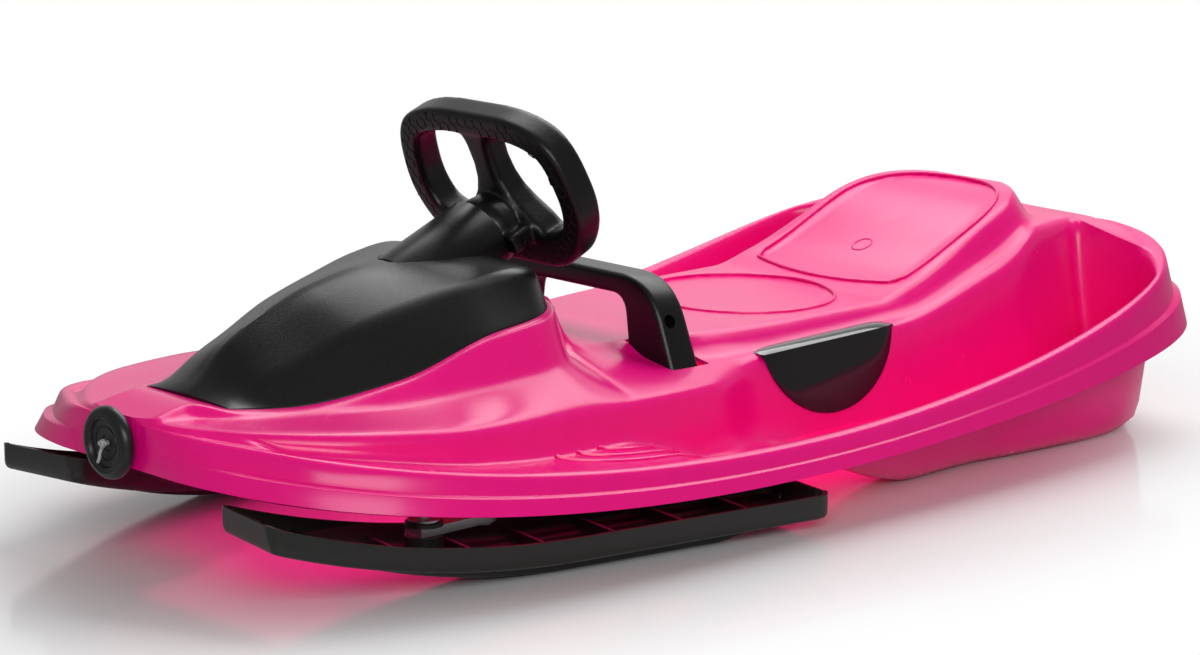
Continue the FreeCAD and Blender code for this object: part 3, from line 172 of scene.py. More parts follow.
def faired(x, knots):
    """Reads a smooth line through its knots, which run from bow to stern, without overshoot."""
    xs = [k[0] for k in knots]
    zs = [k[1] for k in knots]
    if x >= xs[0]:
        return zs[0]
    if x <= xs[-1]:
        return zs[-1]
    runs = [(zs[i + 1] - zs[i]) / (xs[i + 1] - xs[i]) for i in range(len(xs) - 1)]
    i = next(i for i in range(len(runs)) if x >= xs[i + 1])

    def slope(k):
        if k == 0 or k == len(xs) - 1:
            return runs[min(k, len(runs) - 1)]
        a, b = runs[k - 1], runs[k]
        return 0.0 if a * b <= 0 else 2 * a * b / (a + b)

    step = xs[i + 1] - xs[i]
    t = (x - xs[i]) / step
    return ((2 * t ** 3 - 3 * t ** 2 + 1) * zs[i] + (t ** 3 - 2 * t ** 2 + t) * step * slope(i)
            + (3 * t ** 2 - 2 * t ** 3) * zs[i + 1] + (t ** 3 - t ** 2) * step * slope(i + 1))


def eased(value, start, end):
    """Goes smoothly from 0 at start to 1 at end."""
    t = min(1.0, max(0.0, (value - start) / (end - start)))
    return t * t * (3 - 2 * t)


def plan_half(x):
    reach, power = (BOW_REACH, BOW_POWER) if x > 0 else (STERN_REACH, STERN_POWER)
    return HULL_HALF * (1 - (abs(x) / reach) ** power) ** (1 / power)


def sheer(x, bow_rise, stern_rise):
    if x > SHEER_X:
        return bow_rise * ((x - SHEER_X) / (BOW_END - SHEER_X)) ** 2
    return stern_rise * ((x - SHEER_X) / (STERN_END - SHEER_X)) ** 2


def rim_z(x):
    return RIM_LOW + sheer(x, RIM_BOW_RISE, RIM_STERN_RISE)


def skirt_z(x):
    return SKIRT_LOW + sheer(x, SKIRT_BOW_RISE, SKIRT_STERN_RISE)


def hood_half_at(x):
    if x > HOOD_WIDE:
        grow = math.sin(math.pi / 2 * min(1.0, max(0.0, (HOOD_FRONT - x) / (HOOD_FRONT - HOOD_WIDE))))
        return HOOD_FRONT_HALF + (HOOD_HALF - HOOD_FRONT_HALF) * grow
    tail = min(0.985, (HOOD_WIDE - x) / (HOOD_WIDE - HOOD_REAR))
    return HOOD_HALF * (1 - tail ** HOOD_TAIL) ** (1 / HOOD_TAIL)


# Lines of the hull: each knot holds a station and the height, half-width or slope there
TOP_Z = [(567, 150), (520, 158), (495, 152), (445, 149), (350, 163), (250, 194), (171, 201), (140, 203),
         (122, 167), (104, 155), (60, 149), (20, 149), (-20, 151), (-250, 151), (-300, 162), (-499, 228),
         (-506, 228), (-514, 208), (-522, 200), (-555, 197), (-588, 190)]
SADDLE_HALF = [(140, 66), (120, 70), (100, 72), (60, 75), (20, 88), (-20, 107), (-100, 117), (-286, 118),
               (-400, 112)]
CREASE_STEP = [(567, 8), (495, 12), (340, 18), (235, 18), (140, 20), (100, 24), (-20, 17), (-286, 14),
               (-400, 13)]
SHOULDER_HALF = [(478, 165), (340, 205), (235, 199), (32, 177), (-50, 150), (-400, 150), (-475, 128),
                 (-588, 98)]
SHOULDER_Z = [(567, 148), (478, 144), (340, 136), (235, 131), (32, 124), (-50, 129), (-250, 134), (-380, 167),
              (-475, 197), (-525, 196), (-588, 189)]
CREASE_RISE = [(567, 1), (495, 1.5), (430, 4), (387, 7), (340, 13), (287, 20), (235, 27), (180, 31),
               (140, 31), (120, 26), (100, 21), (60, 14), (20, 11), (-20, 6), (-80, 2), (-588, 0.5)]
FLOOR_Z = [(517, 132), (478, 126), (340, 104.7), (235, 94.6), (175, 93), (128, 82), (60, 60), (-48, 47),
           (-190, 4), (-588, 4)]
RIM_WIDTH = [(0, 16), (-400, 12), (-500, 8), (-548, 26), (-588, 30)]
FLARE = [(567, 40), (540, 50), (500, 31), (450, 22), (350, 15), (0, 10), (-250, 10), (-400, 13), (-500, 20),
         (-550, 31), (-588, 46)]
OUTER_SLOPE = [(-48, 0.34), (-190, 0.5), (-250, 0.5), (-340, 0.34), (-475, 0.15), (-588, 0.15)]


def tongue(x, tail):
    """Half-width of the seat back's rounded end, or of the foot of its step."""
    reach = TONGUE_X - tail
    return TONGUE_HALF * max(0.0, 1 - ((TONGUE_X - x) / reach) ** TONGUE_POWER) ** (1 / TONGUE_POWER)


def hull_corners(x):
    """Corners of half a section: across, height, corner radius and points on the run after it."""
    edge = plan_half(x)
    rim_outer = edge - faired(x, FLARE)
    rim_inner = rim_outer - min(faired(x, RIM_WIDTH), rim_outer * RIM_SHARE)
    rim, low = rim_z(x), skirt_z(x)
    top_z = faired(x, TOP_Z)
    if x > HOOD_REAR:
        hole = hood_half_at(x)
        top = max(hole + BEZEL, BEZEL_LEAST)
        if x > HOOD_FRONT:
            top += (NOSE_HALF - top) * min(1.0, 2.5 * (x - HOOD_FRONT) / (BOW_END - HOOD_FRONT))
            hole = top - BEZEL
    else:
        top = faired(x, SADDLE_HALF)
        if x < TONGUE_X:
            top = tongue(x, TONGUE_TAIL) if x > TONGUE_TAIL else 0.0
        hole = max(0.5, top - BEZEL)
    top = max(top, 1.0)
    crease = top + faired(x, CREASE_STEP)
    if x < TONGUE_X:
        foot = tongue(x, TONGUE_FOOT_TAIL) if x > TONGUE_FOOT_TAIL else 0.0
        crease = max(foot + TONGUE_STEP, top + 3)
    shoulder = min(faired(x, SHOULDER_HALF), rim_inner * SHOULDER_SHARE)
    crease = min(crease, shoulder - 4)
    top = min(top, crease - 3)
    hole = min(hole, top - 0.5)
    shoulder_z = faired(x, SHOULDER_Z)
    deep = eased(x, *WELL_FRONT) * eased(x, *WELL_REAR)
    floor_z = min(faired(x, FLOOR_Z), shoulder_z - 2)
    outer_z = min(floor_z, rim - 2)
    inner = Vector((shoulder + max(2.0, WALL_LEAN * (shoulder_z - floor_z)), floor_z))
    outer = Vector((rim_inner - max(2.0, faired(x, OUTER_SLOPE) * (rim - outer_z)), outer_z))
    outer.x = max(outer.x, inner.x + 2)
    near, far = Vector((shoulder, shoulder_z)), Vector((rim_inner, rim))
    inner = near.lerp(far, 0.33).lerp(inner, deep)
    outer = near.lerp(far, 0.67).lerp(outer, deep)
    rim_inner = max(rim_inner, outer.x + 1)
    tall = rim - low
    bow, step = eased(x, 440, 560), eased(x, 0, 80)
    flare = edge - rim_outer
    return [(0.0, top_z, 0, 12), (hole, top_z, 0, 2), (top, top_z, 5 + 9 * eased(x, 138, 100), 3),
            (crease, shoulder_z + faired(x, CREASE_RISE), 12 - 4 * step, 3),
            (shoulder, shoulder_z, 14 - 5 * step, 5), (inner.x, inner.y, 22 - 14 * step, 5),
            (outer.x, outer.y, 26 - 16 * step, 4), (rim_inner, rim, 8 + 10 * bow, 1),
            (rim_outer, rim, 6 + 12 * bow, 2), (edge - 0.62 * flare, rim - 0.52 * tall, 0.8, 0),
            (edge - 0.3 * flare, rim - 0.58 * tall, 0.8, 1), (edge, low, 0, 0)]


def bent(start, corner, end, steps):
    """Points on a soft turn from start to end, drawn towards the corner."""
    shares = [k / steps for k in range(steps + 1)]
    return [start * (1 - t) ** 2 + corner * 2 * t * (1 - t) + end * t ** 2 for t in shares]


CORNER_ROOM = 0.46


def rounded_run(corners, steps=4):
    """Points along a run of corners, each rounded by its radius where the runs leave room."""
    points, ends = [], []
    for i, (y, z, radius, _) in enumerate(corners):
        here = Vector((y, z))
        if 0 < i < len(corners) - 1 and radius > 0:
            back = Vector(corners[i - 1][:2]) - here
            ahead = Vector(corners[i + 1][:2]) - here
            a = here + back.normalized() * min(radius, CORNER_ROOM * back.length)
            b = here + ahead.normalized() * min(radius, CORNER_ROOM * ahead.length)
            ends.append(bent(a, here, b, steps - 1))
        else:
            ends.append([here])
    for i, (_, _, _, fill) in enumerate(corners):
        points += ends[i]
        for k in range(1, fill + 1):
            points.append(ends[i][-1].lerp(ends[i + 1][0], k / (fill + 1)))
    return points


OVAL_X, OVAL_LONG, OVAL_WIDE, OVAL_MEAN = -172, 92, 100, 95
BACK_FRONT, BACK_BOW, BACK_HALF, BACK_END = -276, 0.0016, 98, 94
RECESS_DEPTH, RECESS_EDGE = 1.8, 6


def seat_recess(x, y):
    """Depth of the shallow recesses in the bench: an oval in front, a tongue behind it."""
    oval = 1 - math.hypot((x - OVAL_X) / OVAL_LONG, y / OVAL_WIDE)
    depth = RECESS_DEPTH * eased(oval * OVAL_MEAN, 0, RECESS_EDGE)
    if TONGUE_X - 100 < x < BACK_FRONT + 4:
        run = max(0.0, TONGUE_X - x) / BACK_END
        half = BACK_HALF * max(0.0, 1 - run ** TONGUE_POWER) ** (1 / TONGUE_POWER)
        inside = min(half - abs(y), BACK_FRONT - x - BACK_BOW * y * y)
        depth = max(depth, RECESS_DEPTH * eased(inside, 0, RECESS_EDGE))
    return depth


def sheet(name, rows):
    """A grid laid on rows of points in millimetres; points that meet are welded."""
    start_fresh()
    last_row, last_column = len(rows) - 1, len(rows[0]) - 1
    bpy.ops.mesh.primitive_grid_add(x_subdivisions=last_row, y_subdivisions=last_column, size=1)
    made = bpy.context.object
    made.name = name
    for vertex in made.data.vertices:
        row = round((vertex.co.x + 0.5) * last_row)
        column = round((vertex.co.y + 0.5) * last_column)
        vertex.co = Vector(rows[row][column]) * MM
    bpy.ops.object.mode_set(mode="EDIT")
    bpy.ops.mesh.select_all(action="SELECT")
    bpy.ops.mesh.remove_doubles(threshold=0.000002)
    bpy.ops.object.mode_set(mode="OBJECT")
    return made


def face_out():
    """Turns the faces of the active closed mesh outwards."""
    bpy.ops.object.mode_set(mode="EDIT")
    bpy.ops.mesh.select_all(action="SELECT")
    bpy.ops.mesh.normals_make_consistent(inside=False)
    bpy.ops.object.mode_set(mode="OBJECT")


def thicken(piece, wall, side):
    """Gives the sheet a wall: side -1 puts it behind the faces, 1 in front of them."""
    bpy.ops.object.modifier_add(type="SOLIDIFY")
    shell = piece.modifiers["Solidify"]
    shell.thickness = wall * MM
    shell.offset = side
    shell.use_even_offset = True
    shell.thickness_clamp = 0.6
    bpy.ops.object.modifier_apply(modifier="Solidify")


def cut(piece, tool):
    """Takes the tool's space out of the piece and drops the tool."""
    start_fresh()
    bpy.context.view_layer.objects.active = piece
    piece.select_set(True)
    bpy.ops.object.modifier_add(type="BOOLEAN")
    step = piece.modifiers["Boolean"]
    step.operation = "DIFFERENCE"
    step.solver = "EXACT"
    step.object = tool
    bpy.ops.object.modifier_apply(modifier="Boolean")
    bpy.data.objects.remove(tool)


def joined(pieces):
    """Joins the pieces into the first one."""
    start_fresh()
    for piece in pieces:
        piece.select_set(True)
    bpy.context.view_layer.objects.active = pieces[0]
    bpy.ops.object.join()
    return pieces[0]


def tube(name, points, radius, sides=10, loop=False):
    """A round bar along the points, with closed ends unless it is a loop."""
    points = [Vector(p) for p in points]
    count = len(points)
    rows = []
    up = Vector((0, 0, 1))
    for i, here in enumerate(points):
        back = points[i - 1] if i > 0 or loop else here
        ahead = points[(i + 1) % count] if i < count - 1 or loop else here
        way = (ahead - back).normalized()
        side = way.cross(up)
        side = side.normalized() if side.length > 0.05 else way.cross(Vector((1, 0, 0))).normalized()
        lift = side.cross(way)
        turns = [2 * math.pi * k / sides for k in range(sides + 1)]
        rows.append([here + side * radius * math.cos(a) + lift * radius * math.sin(a) for a in turns])
    if loop:
        rows.append(rows[0])
    else:
        rows = [[points[0]] * (sides + 1)] + rows + [[points[-1]] * (sides + 1)]
    made = sheet(name, rows)
    face_out()
    return made


stations = [STERN_END, STERN_END + 1.5, STERN_END + 5]
x = STERN_END + 9
while x < BOW_END - 7:
    stations.append(x)
    x += 3.4 if x < -490 else 6.0 if x < 90 else 4.2 if x < 160 else 5.6
stations += [BOW_END - 5, BOW_END - 1.5, BOW_END]
rows = []
for x in stations:
    half = [(p.x, p.y - seat_recess(x, p.x)) for p in rounded_run(hull_corners(x))]
    rows.append([(x, -y, z) for y, z in reversed(half[1:])] + [(x, y, z) for y, z in half])
rows = ([[(STERN_END, y, skirt_z(STERN_END)) for _, y, _ in rows[0]]] + rows
        + [[(BOW_END, y, skirt_z(BOW_END)) for _, y, _ in rows[-1]]])
hull = sheet("hull", rows)

# The opening under the hood is taken out along the hole's edge, which is a line of the mesh
bpy.ops.object.mode_set(mode="EDIT")
bpy.ops.mesh.select_all(action="DESELECT")
bpy.ops.mesh.select_mode(type="FACE")
bpy.ops.object.mode_set(mode="OBJECT")
for face in hull.data.polygons:
    x, y = face.center.x / MM, face.center.y / MM
    face.select = HOOD_REAR + 2 < x < HOOD_FRONT and abs(y) < hood_half_at(x)
bpy.ops.object.mode_set(mode="EDIT")
bpy.ops.mesh.delete(type="FACE")
bpy.ops.object.mode_set(mode="OBJECT")
thicken(hull, SKIN, -1)

# Slots in the deck for the two legs of the brake arch
BRAKE_X, BRAKE_Z, BRAKE_INNER, BRAKE_OUTER, BRAKE_DEPTH = 32, 126, 79, 139, 18
SLOT_REAR, SLOT_FRONT, SLOT_INNER, SLOT_OUTER = 3, 50.8, 74, 139.2
SLOT_Z, SLOT_TALL = 135, 70
for side in (1, -1):
    start_fresh()
    middle = ((SLOT_REAR + SLOT_FRONT) / 2, side * (SLOT_INNER + SLOT_OUTER) / 2, SLOT_Z)
    bpy.ops.mesh.primitive_cube_add(size=1, location=Vector(middle) * MM)
    slot = bpy.context.object
    slot.scale = Vector((SLOT_FRONT - SLOT_REAR, SLOT_OUTER - SLOT_INNER, SLOT_TALL)) * MM
    cut(hull, slot)


def deck_z(x, y):
    """Height of the hull's upper face at a place on the foot channel or the bench."""
    run = rounded_run(hull_corners(x))
    for a, b in zip(run, run[1:]):
        if a.x <= abs(y) <= b.x and b.x - a.x > 0.01:
            return a.y + (b.y - a.y) * (abs(y) - a.x) / (b.x - a.x) - seat_recess(x, y)
    return run[-1].y


# Beads round the bench's recesses, curved tread ribs on the foot rests and the gate's ring
BEAD, BEAD_LIFT, BEAD_POWER = 1.8, 0.4, 0.9
turns = [2 * math.pi * k / 72 for k in range(72)]
oval = [(OVAL_X + (OVAL_LONG - 2) * math.cos(a), (OVAL_WIDE - 2) * math.sin(a)) for a in turns]
quarter = [math.pi / 2 * k / 16 for k in range(17)]
back = [(BACK_FRONT - BACK_BOW * y * y, y) for y in range(0, 91, 10)]
back += [(BACK_FRONT - 18 - 10 * k, BACK_HALF) for k in range(1, 10)]
back += [(TONGUE_X - BACK_END * math.sin(t) ** BEAD_POWER, BACK_HALF * math.cos(t) ** BEAD_POWER)
         for t in quarter]
back += [(x, -y) for x, y in reversed(back[1:-1])]
trims = []
for name, path in (("oval_bead", oval), ("back_bead", back)):
    trims.append(tube(name, [(x, y, deck_z(x, y) + BEAD_LIFT) for x, y in path], BEAD, 8, True))
TREAD_X, TREAD_Y, TREAD_FLAT, TREAD_RADII, TREAD_RIB = 168, 194, 0.62, (36, 63, 90), 1.7
for side in (1, -1):
    for radius in TREAD_RADII:
        run = []
        for k in range(25):
            turn = math.radians(6 + 168 * k / 24)
            x = TREAD_X + radius * math.cos(turn)
            y = max(TREAD_Y + TREAD_FLAT * radius * math.sin(turn), hull_corners(x)[5][0] + 2)
            run.append((x, side * y, deck_z(x, y) + 0.3))
        trims.append(tube("tread_rib", run, TREAD_RIB, 8))
GATE_X, GATE_RADIUS, GATE_SUNK, GATE_RIB = -347, 10, 0.2, 1.1
gate = [(GATE_X + GATE_RADIUS * math.cos(t), GATE_RADIUS * math.sin(t)) for t in turns]
trims.append(tube("gate_ring", [(x, y, deck_z(x, y) - GATE_SUNK) for x, y in gate], GATE_RIB, 8, True))
hull = joined([hull] + trims)
bpy.ops.object.shade_smooth_by_angle(angle=math.radians(38))


def grain_group():
    """Moulded grain: a mottled tone, a roughness and a height that the plastics share."""
    group = bpy.data.node_groups.new("moulded_grain", "ShaderNodeTree")
    for label, kind in (("Colour", "NodeSocketColor"), ("Scale", "NodeSocketFloat"),
                        ("Tone", "NodeSocketFloat"), ("Spread", "NodeSocketFloat"),
                        ("Base", "NodeSocketFloat")):
        group.interface.new_socket(label, in_out="INPUT", socket_type=kind)
    for label, kind in (("Colour", "NodeSocketColor"), ("Roughness", "NodeSocketFloat"),
                        ("Height", "NodeSocketFloat")):
        group.interface.new_socket(label, in_out="OUTPUT", socket_type=kind)
    inside, joins = group.nodes, group.links
    given, put = inside.new("NodeGroupInput"), inside.new("NodeGroupOutput")
    place = inside.new("ShaderNodeTexCoord")
    noise = inside.new("ShaderNodeTexNoise")
    noise.inputs["Detail"].default_value = 3
    joins.new(place.outputs["Object"], noise.inputs["Vector"])
    joins.new(given.outputs["Scale"], noise.inputs["Scale"])
    centred = inside.new("ShaderNodeMath")
    centred.operation = "SUBTRACT"
    centred.inputs[1].default_value = 0.5
    joins.new(noise.outputs["Fac"], centred.inputs[0])
    spread = inside.new("ShaderNodeMath")
    spread.operation = "MULTIPLY_ADD"
    joins.new(centred.outputs[0], spread.inputs[0])
    joins.new(given.outputs["Spread"], spread.inputs[1])
    joins.new(given.outputs["Base"], spread.inputs[2])
    tone = inside.new("ShaderNodeMath")
    tone.operation = "MULTIPLY_ADD"
    tone.inputs[2].default_value = 1.0
    joins.new(centred.outputs[0], tone.inputs[0])
    joins.new(given.outputs["Tone"], tone.inputs[1])
    tinted = inside.new("ShaderNodeVectorMath")
    tinted.operation = "SCALE"
    joins.new(given.outputs["Colour"], tinted.inputs[0])
    joins.new(tone.outputs[0], tinted.inputs["Scale"])
    joins.new(tinted.outputs["Vector"], put.inputs["Colour"])
    joins.new(spread.outputs[0], put.inputs["Roughness"])
    joins.new(noise.outputs["Fac"], put.inputs["Height"])
    return group


GRAIN = grain_group()
GRAIN_DEPTH, COAT_ROUGHNESS = 0.0004, 0.06


def plastic(name, colour, roughness, spread, scale, bump, tone=0.3, coat=0.0, shine=0.5):
    """A moulded plastic: its colour, its gloss and how strong and fine its grain is."""
    made = bpy.data.materials.new(name)
    made.use_nodes = True
    tree = made.node_tree
    shader = tree.nodes["Principled BSDF"]
    shader.inputs["Specular IOR Level"].default_value = shine
    shader.inputs["Coat Weight"].default_value = coat
    shader.inputs["Coat Roughness"].default_value = COAT_ROUGHNESS
    grain = tree.nodes.new("ShaderNodeGroup")
    grain.node_tree = GRAIN
    grain.inputs["Colour"].default_value = (*colour, 1)
    grain.inputs["Scale"].default_value = scale
    grain.inputs["Tone"].default_value = tone
    grain.inputs["Spread"].default_value = spread
    grain.inputs["Base"].default_value = roughness
    tree.links.new(grain.outputs["Colour"], shader.inputs["Base Color"])
    tree.links.new(grain.outputs["Roughness"], shader.inputs["Roughness"])
    relief = tree.nodes.new("ShaderNodeBump")
    relief.inputs["Strength"].default_value = bump
    relief.inputs["Distance"].default_value = GRAIN_DEPTH
    tree.links.new(grain.outputs["Height"], relief.inputs["Height"])
    tree.links.new(relief.outputs["Normal"], shader.inputs["Normal"])
    return made


def dress(piece, body, slot, paint, *labels):
    """Gives a piece its material and the body it rides on, and hides the CAD nodes it stands for."""
    piece.data.materials.append(paint)
    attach(piece, body)
    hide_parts(*labels)


pink = plastic("hull_pink", (0.95, 0.003, 0.24), 0.25, 0.1, 45, 0.015, tone=0.08, shine=0.38)
dress(hull, "hull", "hull_pink", pink, "hull_shell")

# Hood: a thin black grained moulding over the steering gear, seated in the hull's opening
# and screwed to four tabs from below; the column leaves through a round cut in its crest.
# Its lines hold a station, the crest's height, and the crease's half-width and height.
HOOD_LINES = [(495, 155, 48, 153.5), (478, 170, 50, 158), (450, 197, 56, 172), (410, 217, 64, 186),
              (360, 235, 72, 206), (300, 245, 80, 222), (240, 247, 90, 234), (200, 245, 94, 238),
              (170, 240, 84, 233), (152, 226, 58, 222), (145, 211, 40, 208)]
CREST = [(x, z) for x, z, _, _ in HOOD_LINES]
CREASE_Y = [(x, y) for x, _, y, _ in HOOD_LINES]
CREASE_Z = [(x, z) for x, _, _, z in HOOD_LINES]
HOOD_GAP, HOOD_LIFT, HOOD_SKIRT, HOOD_WALL = 0.6, 0.4, 12, 3
RIDGE_DIP, RIDGE_HALF = 3.0, 12


def hood_row(x):
    """One section of the hood: a soft ridge, a rounded crease, a steep flank and a hidden skirt."""
    edge, edge_z = hood_half_at(x) - HOOD_GAP, faired(x, TOP_Z) + HOOD_LIFT
    crest, crease_z = faired(x, CREST), max(faired(x, CREASE_Z), edge_z + 0.8)
    corners = [(0.0, crest, 0, 6), (faired(x, CREASE_Y), crease_z, 9, 8), (edge, edge_z, 1.5, 2),
               (edge + 0.1, edge_z - HOOD_SKIRT, 0, 0)]
    dip = RIDGE_DIP * eased(x, HOOD_FRONT, HOOD_FRONT - 25)
    half = [(p.x, p.y - dip * math.exp(-(p.x / RIDGE_HALF) ** 2)) for p in rounded_run(corners, 9)]
    return [(x, -y, z) for y, z in reversed(half[1:])] + [(x, y, z) for y, z in half]


xs = [145.2 + 1.2 * k * (1 + 0.16 * k) for k in range(8)]
xs += [165 + 6 * k for k in range(54)] + [485, 488.5, 491, 493, 494.6]
rows = [hood_row(x) for x in xs]
rows = [[(x, y, z - 9) for x, y, z in rows[0]]] + rows + [[(x, y, min(z, 146)) for x, y, z in rows[-1]]]
hood = sheet("hood", rows)
thicken(hood, HOOD_WALL, -1)

# Column frame: a point across the wheel, up in its plane and down along the column
TILT = math.radians(23)
DOWN = Vector((math.cos(TILT), 0, -math.sin(TILT)))
UP = Vector((math.sin(TILT), 0, math.cos(TILT)))
WHEEL = Vector((124, 0, 266))


def on_column(across, up, down):
    return WHEEL + Vector((0, across, 0)) + UP * up + DOWN * down


def turned(name, profile, centre, way, side, steps=64):
    """A body of revolution: its profile holds radius and distance along the way."""
    lift = way.cross(side)
    rows = []
    for k in range(steps + 1):
        a = 2 * math.pi * k / steps
        out = side * math.cos(a) + lift * math.sin(a)
        rows.append([centre + way * along + out * radius for radius, along in profile])
    made = sheet(name, rows)
    face_out()
    return made


ACROSS = Vector((0, 1, 0))
COVER_START, COVER_END, COVER_RADIUS = 42, 146, 38
CUT_RADIUS, CUT_START, CUT_END = COVER_RADIUS + 0.5, -40, 190
channel = turned("channel", [(0, CUT_START), (CUT_RADIUS, CUT_START), (CUT_RADIUS, CUT_END), (0, CUT_END)],
                 WHEEL, DOWN, ACROSS)
cut(hood, channel)
bpy.ops.object.shade_smooth_by_angle(angle=math.radians(35))
trim = plastic("trim_black", (0.004, 0.004, 0.0044), 0.33, 0.2, 650, 0.28, tone=1.0, shine=0.36)
dress(hood, "hull", "trim_black", trim, "hood_cover")

# Column cover: a black grained tube that carries the upper bush and runs from the hood's
# crest up to the wheel's hub; its end stands a hair off the hub.
COVER_BORE = COVER_RADIUS - 4
cover_wall = [(COVER_BORE, COVER_START), (COVER_RADIUS - 2, COVER_START),
              (COVER_RADIUS - 0.6, COVER_START + 0.6), (COVER_RADIUS, COVER_START + 2),
              (COVER_RADIUS, COVER_END), (COVER_BORE, COVER_END), (COVER_BORE, COVER_START)]
cover = turned("column_cover", cover_wall, WHEEL, DOWN, ACROSS)
bpy.ops.object.shade_smooth_by_angle(angle=math.radians(35))
dress(cover, "hull", "trim_black", trim, "column_cover")

# Steering wheel: one black moulding with a closed rim, a middle spoke and a hub that
# flares out to the column; hexagon outlines stand out from its front face.
RIM_OUTLINE = [((-109, 92), 36), ((-60, 113.4), 34), ((60, 113.4), 34), ((109, 92), 36), ((121, 14), 34),
               ((82, -40), 34), ((-82, -40), 34), ((-121, 14), 34)]
RIM_BAR, RIM_LOW_EXTRA, RIM_DEPTH, RIM_ROUND, RIM_FLARE = 23, 10, 30, 5, 0.12
RUN_ROOM = 0.48


def closed_run(outline, steps):
    """Points round a closed outline with rounded corners."""
    points = []
    count = len(outline)
    for i, (corner, radius) in enumerate(outline):
        here = Vector(corner)
        next_corner, next_radius = outline[(i + 1) % count]
        back, ahead = Vector(outline[i - 1][0]) - here, Vector(next_corner) - here
        a = here + back.normalized() * min(radius, RUN_ROOM * back.length)
        b = here + ahead.normalized() * min(radius, RUN_ROOM * ahead.length)
        points += bent(a, here, b, steps)
        next_start = Vector(next_corner) - ahead.normalized() * min(next_radius, RUN_ROOM * ahead.length)
        points += [b.lerp(next_start, k / 8) for k in range(1, 8)]
    return points


def soft_rect(half_a, half_b, radius):
    """Points round a rectangle with rounded corners."""
    points = []
    flat_a, flat_b = half_a - radius, half_b - radius
    for sa, sb, turn in ((1, 1, 0), (-1, 1, 90), (-1, -1, 180), (1, -1, 270)):
        for k in range(5):
            a = math.radians(turn + 90 * k / 4)
            points.append((sa * flat_a + radius * math.cos(a), sb * flat_b + radius * math.sin(a)))
    return points + points[:1]


def rim_path():
    """Each point of the rim's outline and the way in from it."""
    outline = closed_run(RIM_OUTLINE, 8)
    path = []
    for i, here in enumerate(outline):
        way = (outline[(i + 1) % len(outline)] - outline[i - 1]).normalized()
        path.append((here, Vector((way.y, -way.x))))
    return path


def rim_rows():
    """The rim's section carried round the wheel, with its outer side on the outline."""
    rows = []
    for here, inward in rim_path():
        bar = RIM_BAR + RIM_LOW_EXTRA * eased(-here.y, 5, 35)
        middle = here + inward * bar / 2
        row = []
        for a, b in soft_rect(bar / 2, RIM_DEPTH / 2, RIM_ROUND):
            a *= 1 + RIM_FLARE * max(0.0, b) / RIM_DEPTH
            row.append(on_column(*(middle + inward * a), b))
        rows.append(row)
    return rows + rows[:1]


rim = sheet("wheel_rim", rim_rows())
face_out()


def capped(name, rows, start, end):
    """A closed bar through its sections, with a point at each end."""
    count = len(rows[0])
    made = sheet(name, [[start] * count] + rows + [[end] * count])
    face_out()
    return made


# The spoke's sections hold a height, a half-width and a half-depth; the hub's a distance
# down the column, two half-widths and a lift
SPOKE = [(99, 26, 13), (90, 19, 13), (80, 15.5, 13), (60, 14, 13), (44, 16, 13.5), (30, 22, 14),
         (18, 32, 14.5), (4, 48, 15), (-12, 62, 15), (-34, 66, 15)]
SPOKE_ROUND = 6
rows = [[on_column(a, up, b) for a, b in soft_rect(half, depth, SPOKE_ROUND)] for up, half, depth in SPOKE]
spoke = capped("wheel_spoke", rows, on_column(0, SPOKE[0][0], 0), on_column(0, SPOKE[-1][0], 0))
HUB = [(-13, 16, 16, 0), (-8, 24, 22, 0), (6, 28, 25, 0), (18, 33, 30, 2), (30, 34, 33, 1), (38, 33, 33, 0),
       (40.6, 32, 32, 0)]
turns = [2 * math.pi * k / 48 for k in range(49)]
rows = [[on_column(across * math.cos(a), up * math.sin(a) + lift, down) for a in turns]
        for down, across, up, lift in HUB]
hub = capped("wheel_hub", rows, on_column(0, 0, -14), on_column(0, 0, 40.8))
FIN_Y, FIN_UP, FIN_DOWN = 30, -4, (14, 24, 40.6)
fins = []
for side in (1, -1):
    section = [(side * FIN_Y + a, b + FIN_UP) for a, b in soft_rect(15, 9, 2)]
    rows = [[on_column(*place, down) for place in section] for down in FIN_DOWN]
    ends = [on_column(side * FIN_Y, FIN_UP, down) for down in (FIN_DOWN[0], FIN_DOWN[-1])]
    fins.append(capped("hub_fin", rows, *ends))
wheel = joined([rim, spoke, hub] + fins)
bpy.ops.object.modifier_add(type="REMESH")
wheel.modifiers["Remesh"].mode = "VOXEL"
wheel.modifiers["Remesh"].voxel_size = 1.8 * MM
bpy.ops.object.modifier_apply(modifier="Remesh")
bpy.ops.object.modifier_add(type="SMOOTH")
wheel.modifiers["Smooth"].factor = 0.5
wheel.modifiers["Smooth"].iterations = 9
bpy.ops.object.modifier_apply(modifier="Smooth")
bpy.ops.object.shade_smooth()

# A groove in the end of each fin
GROOVE_Y, GROOVE_UP, GROOVE_DOWN = 46, -4, 29
GROOVE_DEEP, GROOVE_WIDE, GROOVE_TALL = 4, 7, 5
for side in (1, -1):
    start_fresh()
    place = on_column(side * GROOVE_Y, GROOVE_UP, GROOVE_DOWN)
    bpy.ops.mesh.primitive_cube_add(size=1)
    groove = bpy.context.object
    groove.data.transform(Matrix.Diagonal((GROOVE_DEEP * MM, GROOVE_WIDE * MM, GROOVE_TALL * MM, 1)))
    groove.data.transform(Matrix.Translation(place * MM) @ Matrix.Rotation(TILT, 4, "Y"))
    cut(wheel, groove)

# Hexagon outlines on the front of the rim, where they lie well inside its bar
RIM_MIDDLE = [here + inward * RIM_BAR / 2 for here, inward in rim_path()][::2]
HEX_SIDE, HEX_LINE, HEX_EDGE, ROOT_3 = 6.4, 0.55, 1.6, 1.732


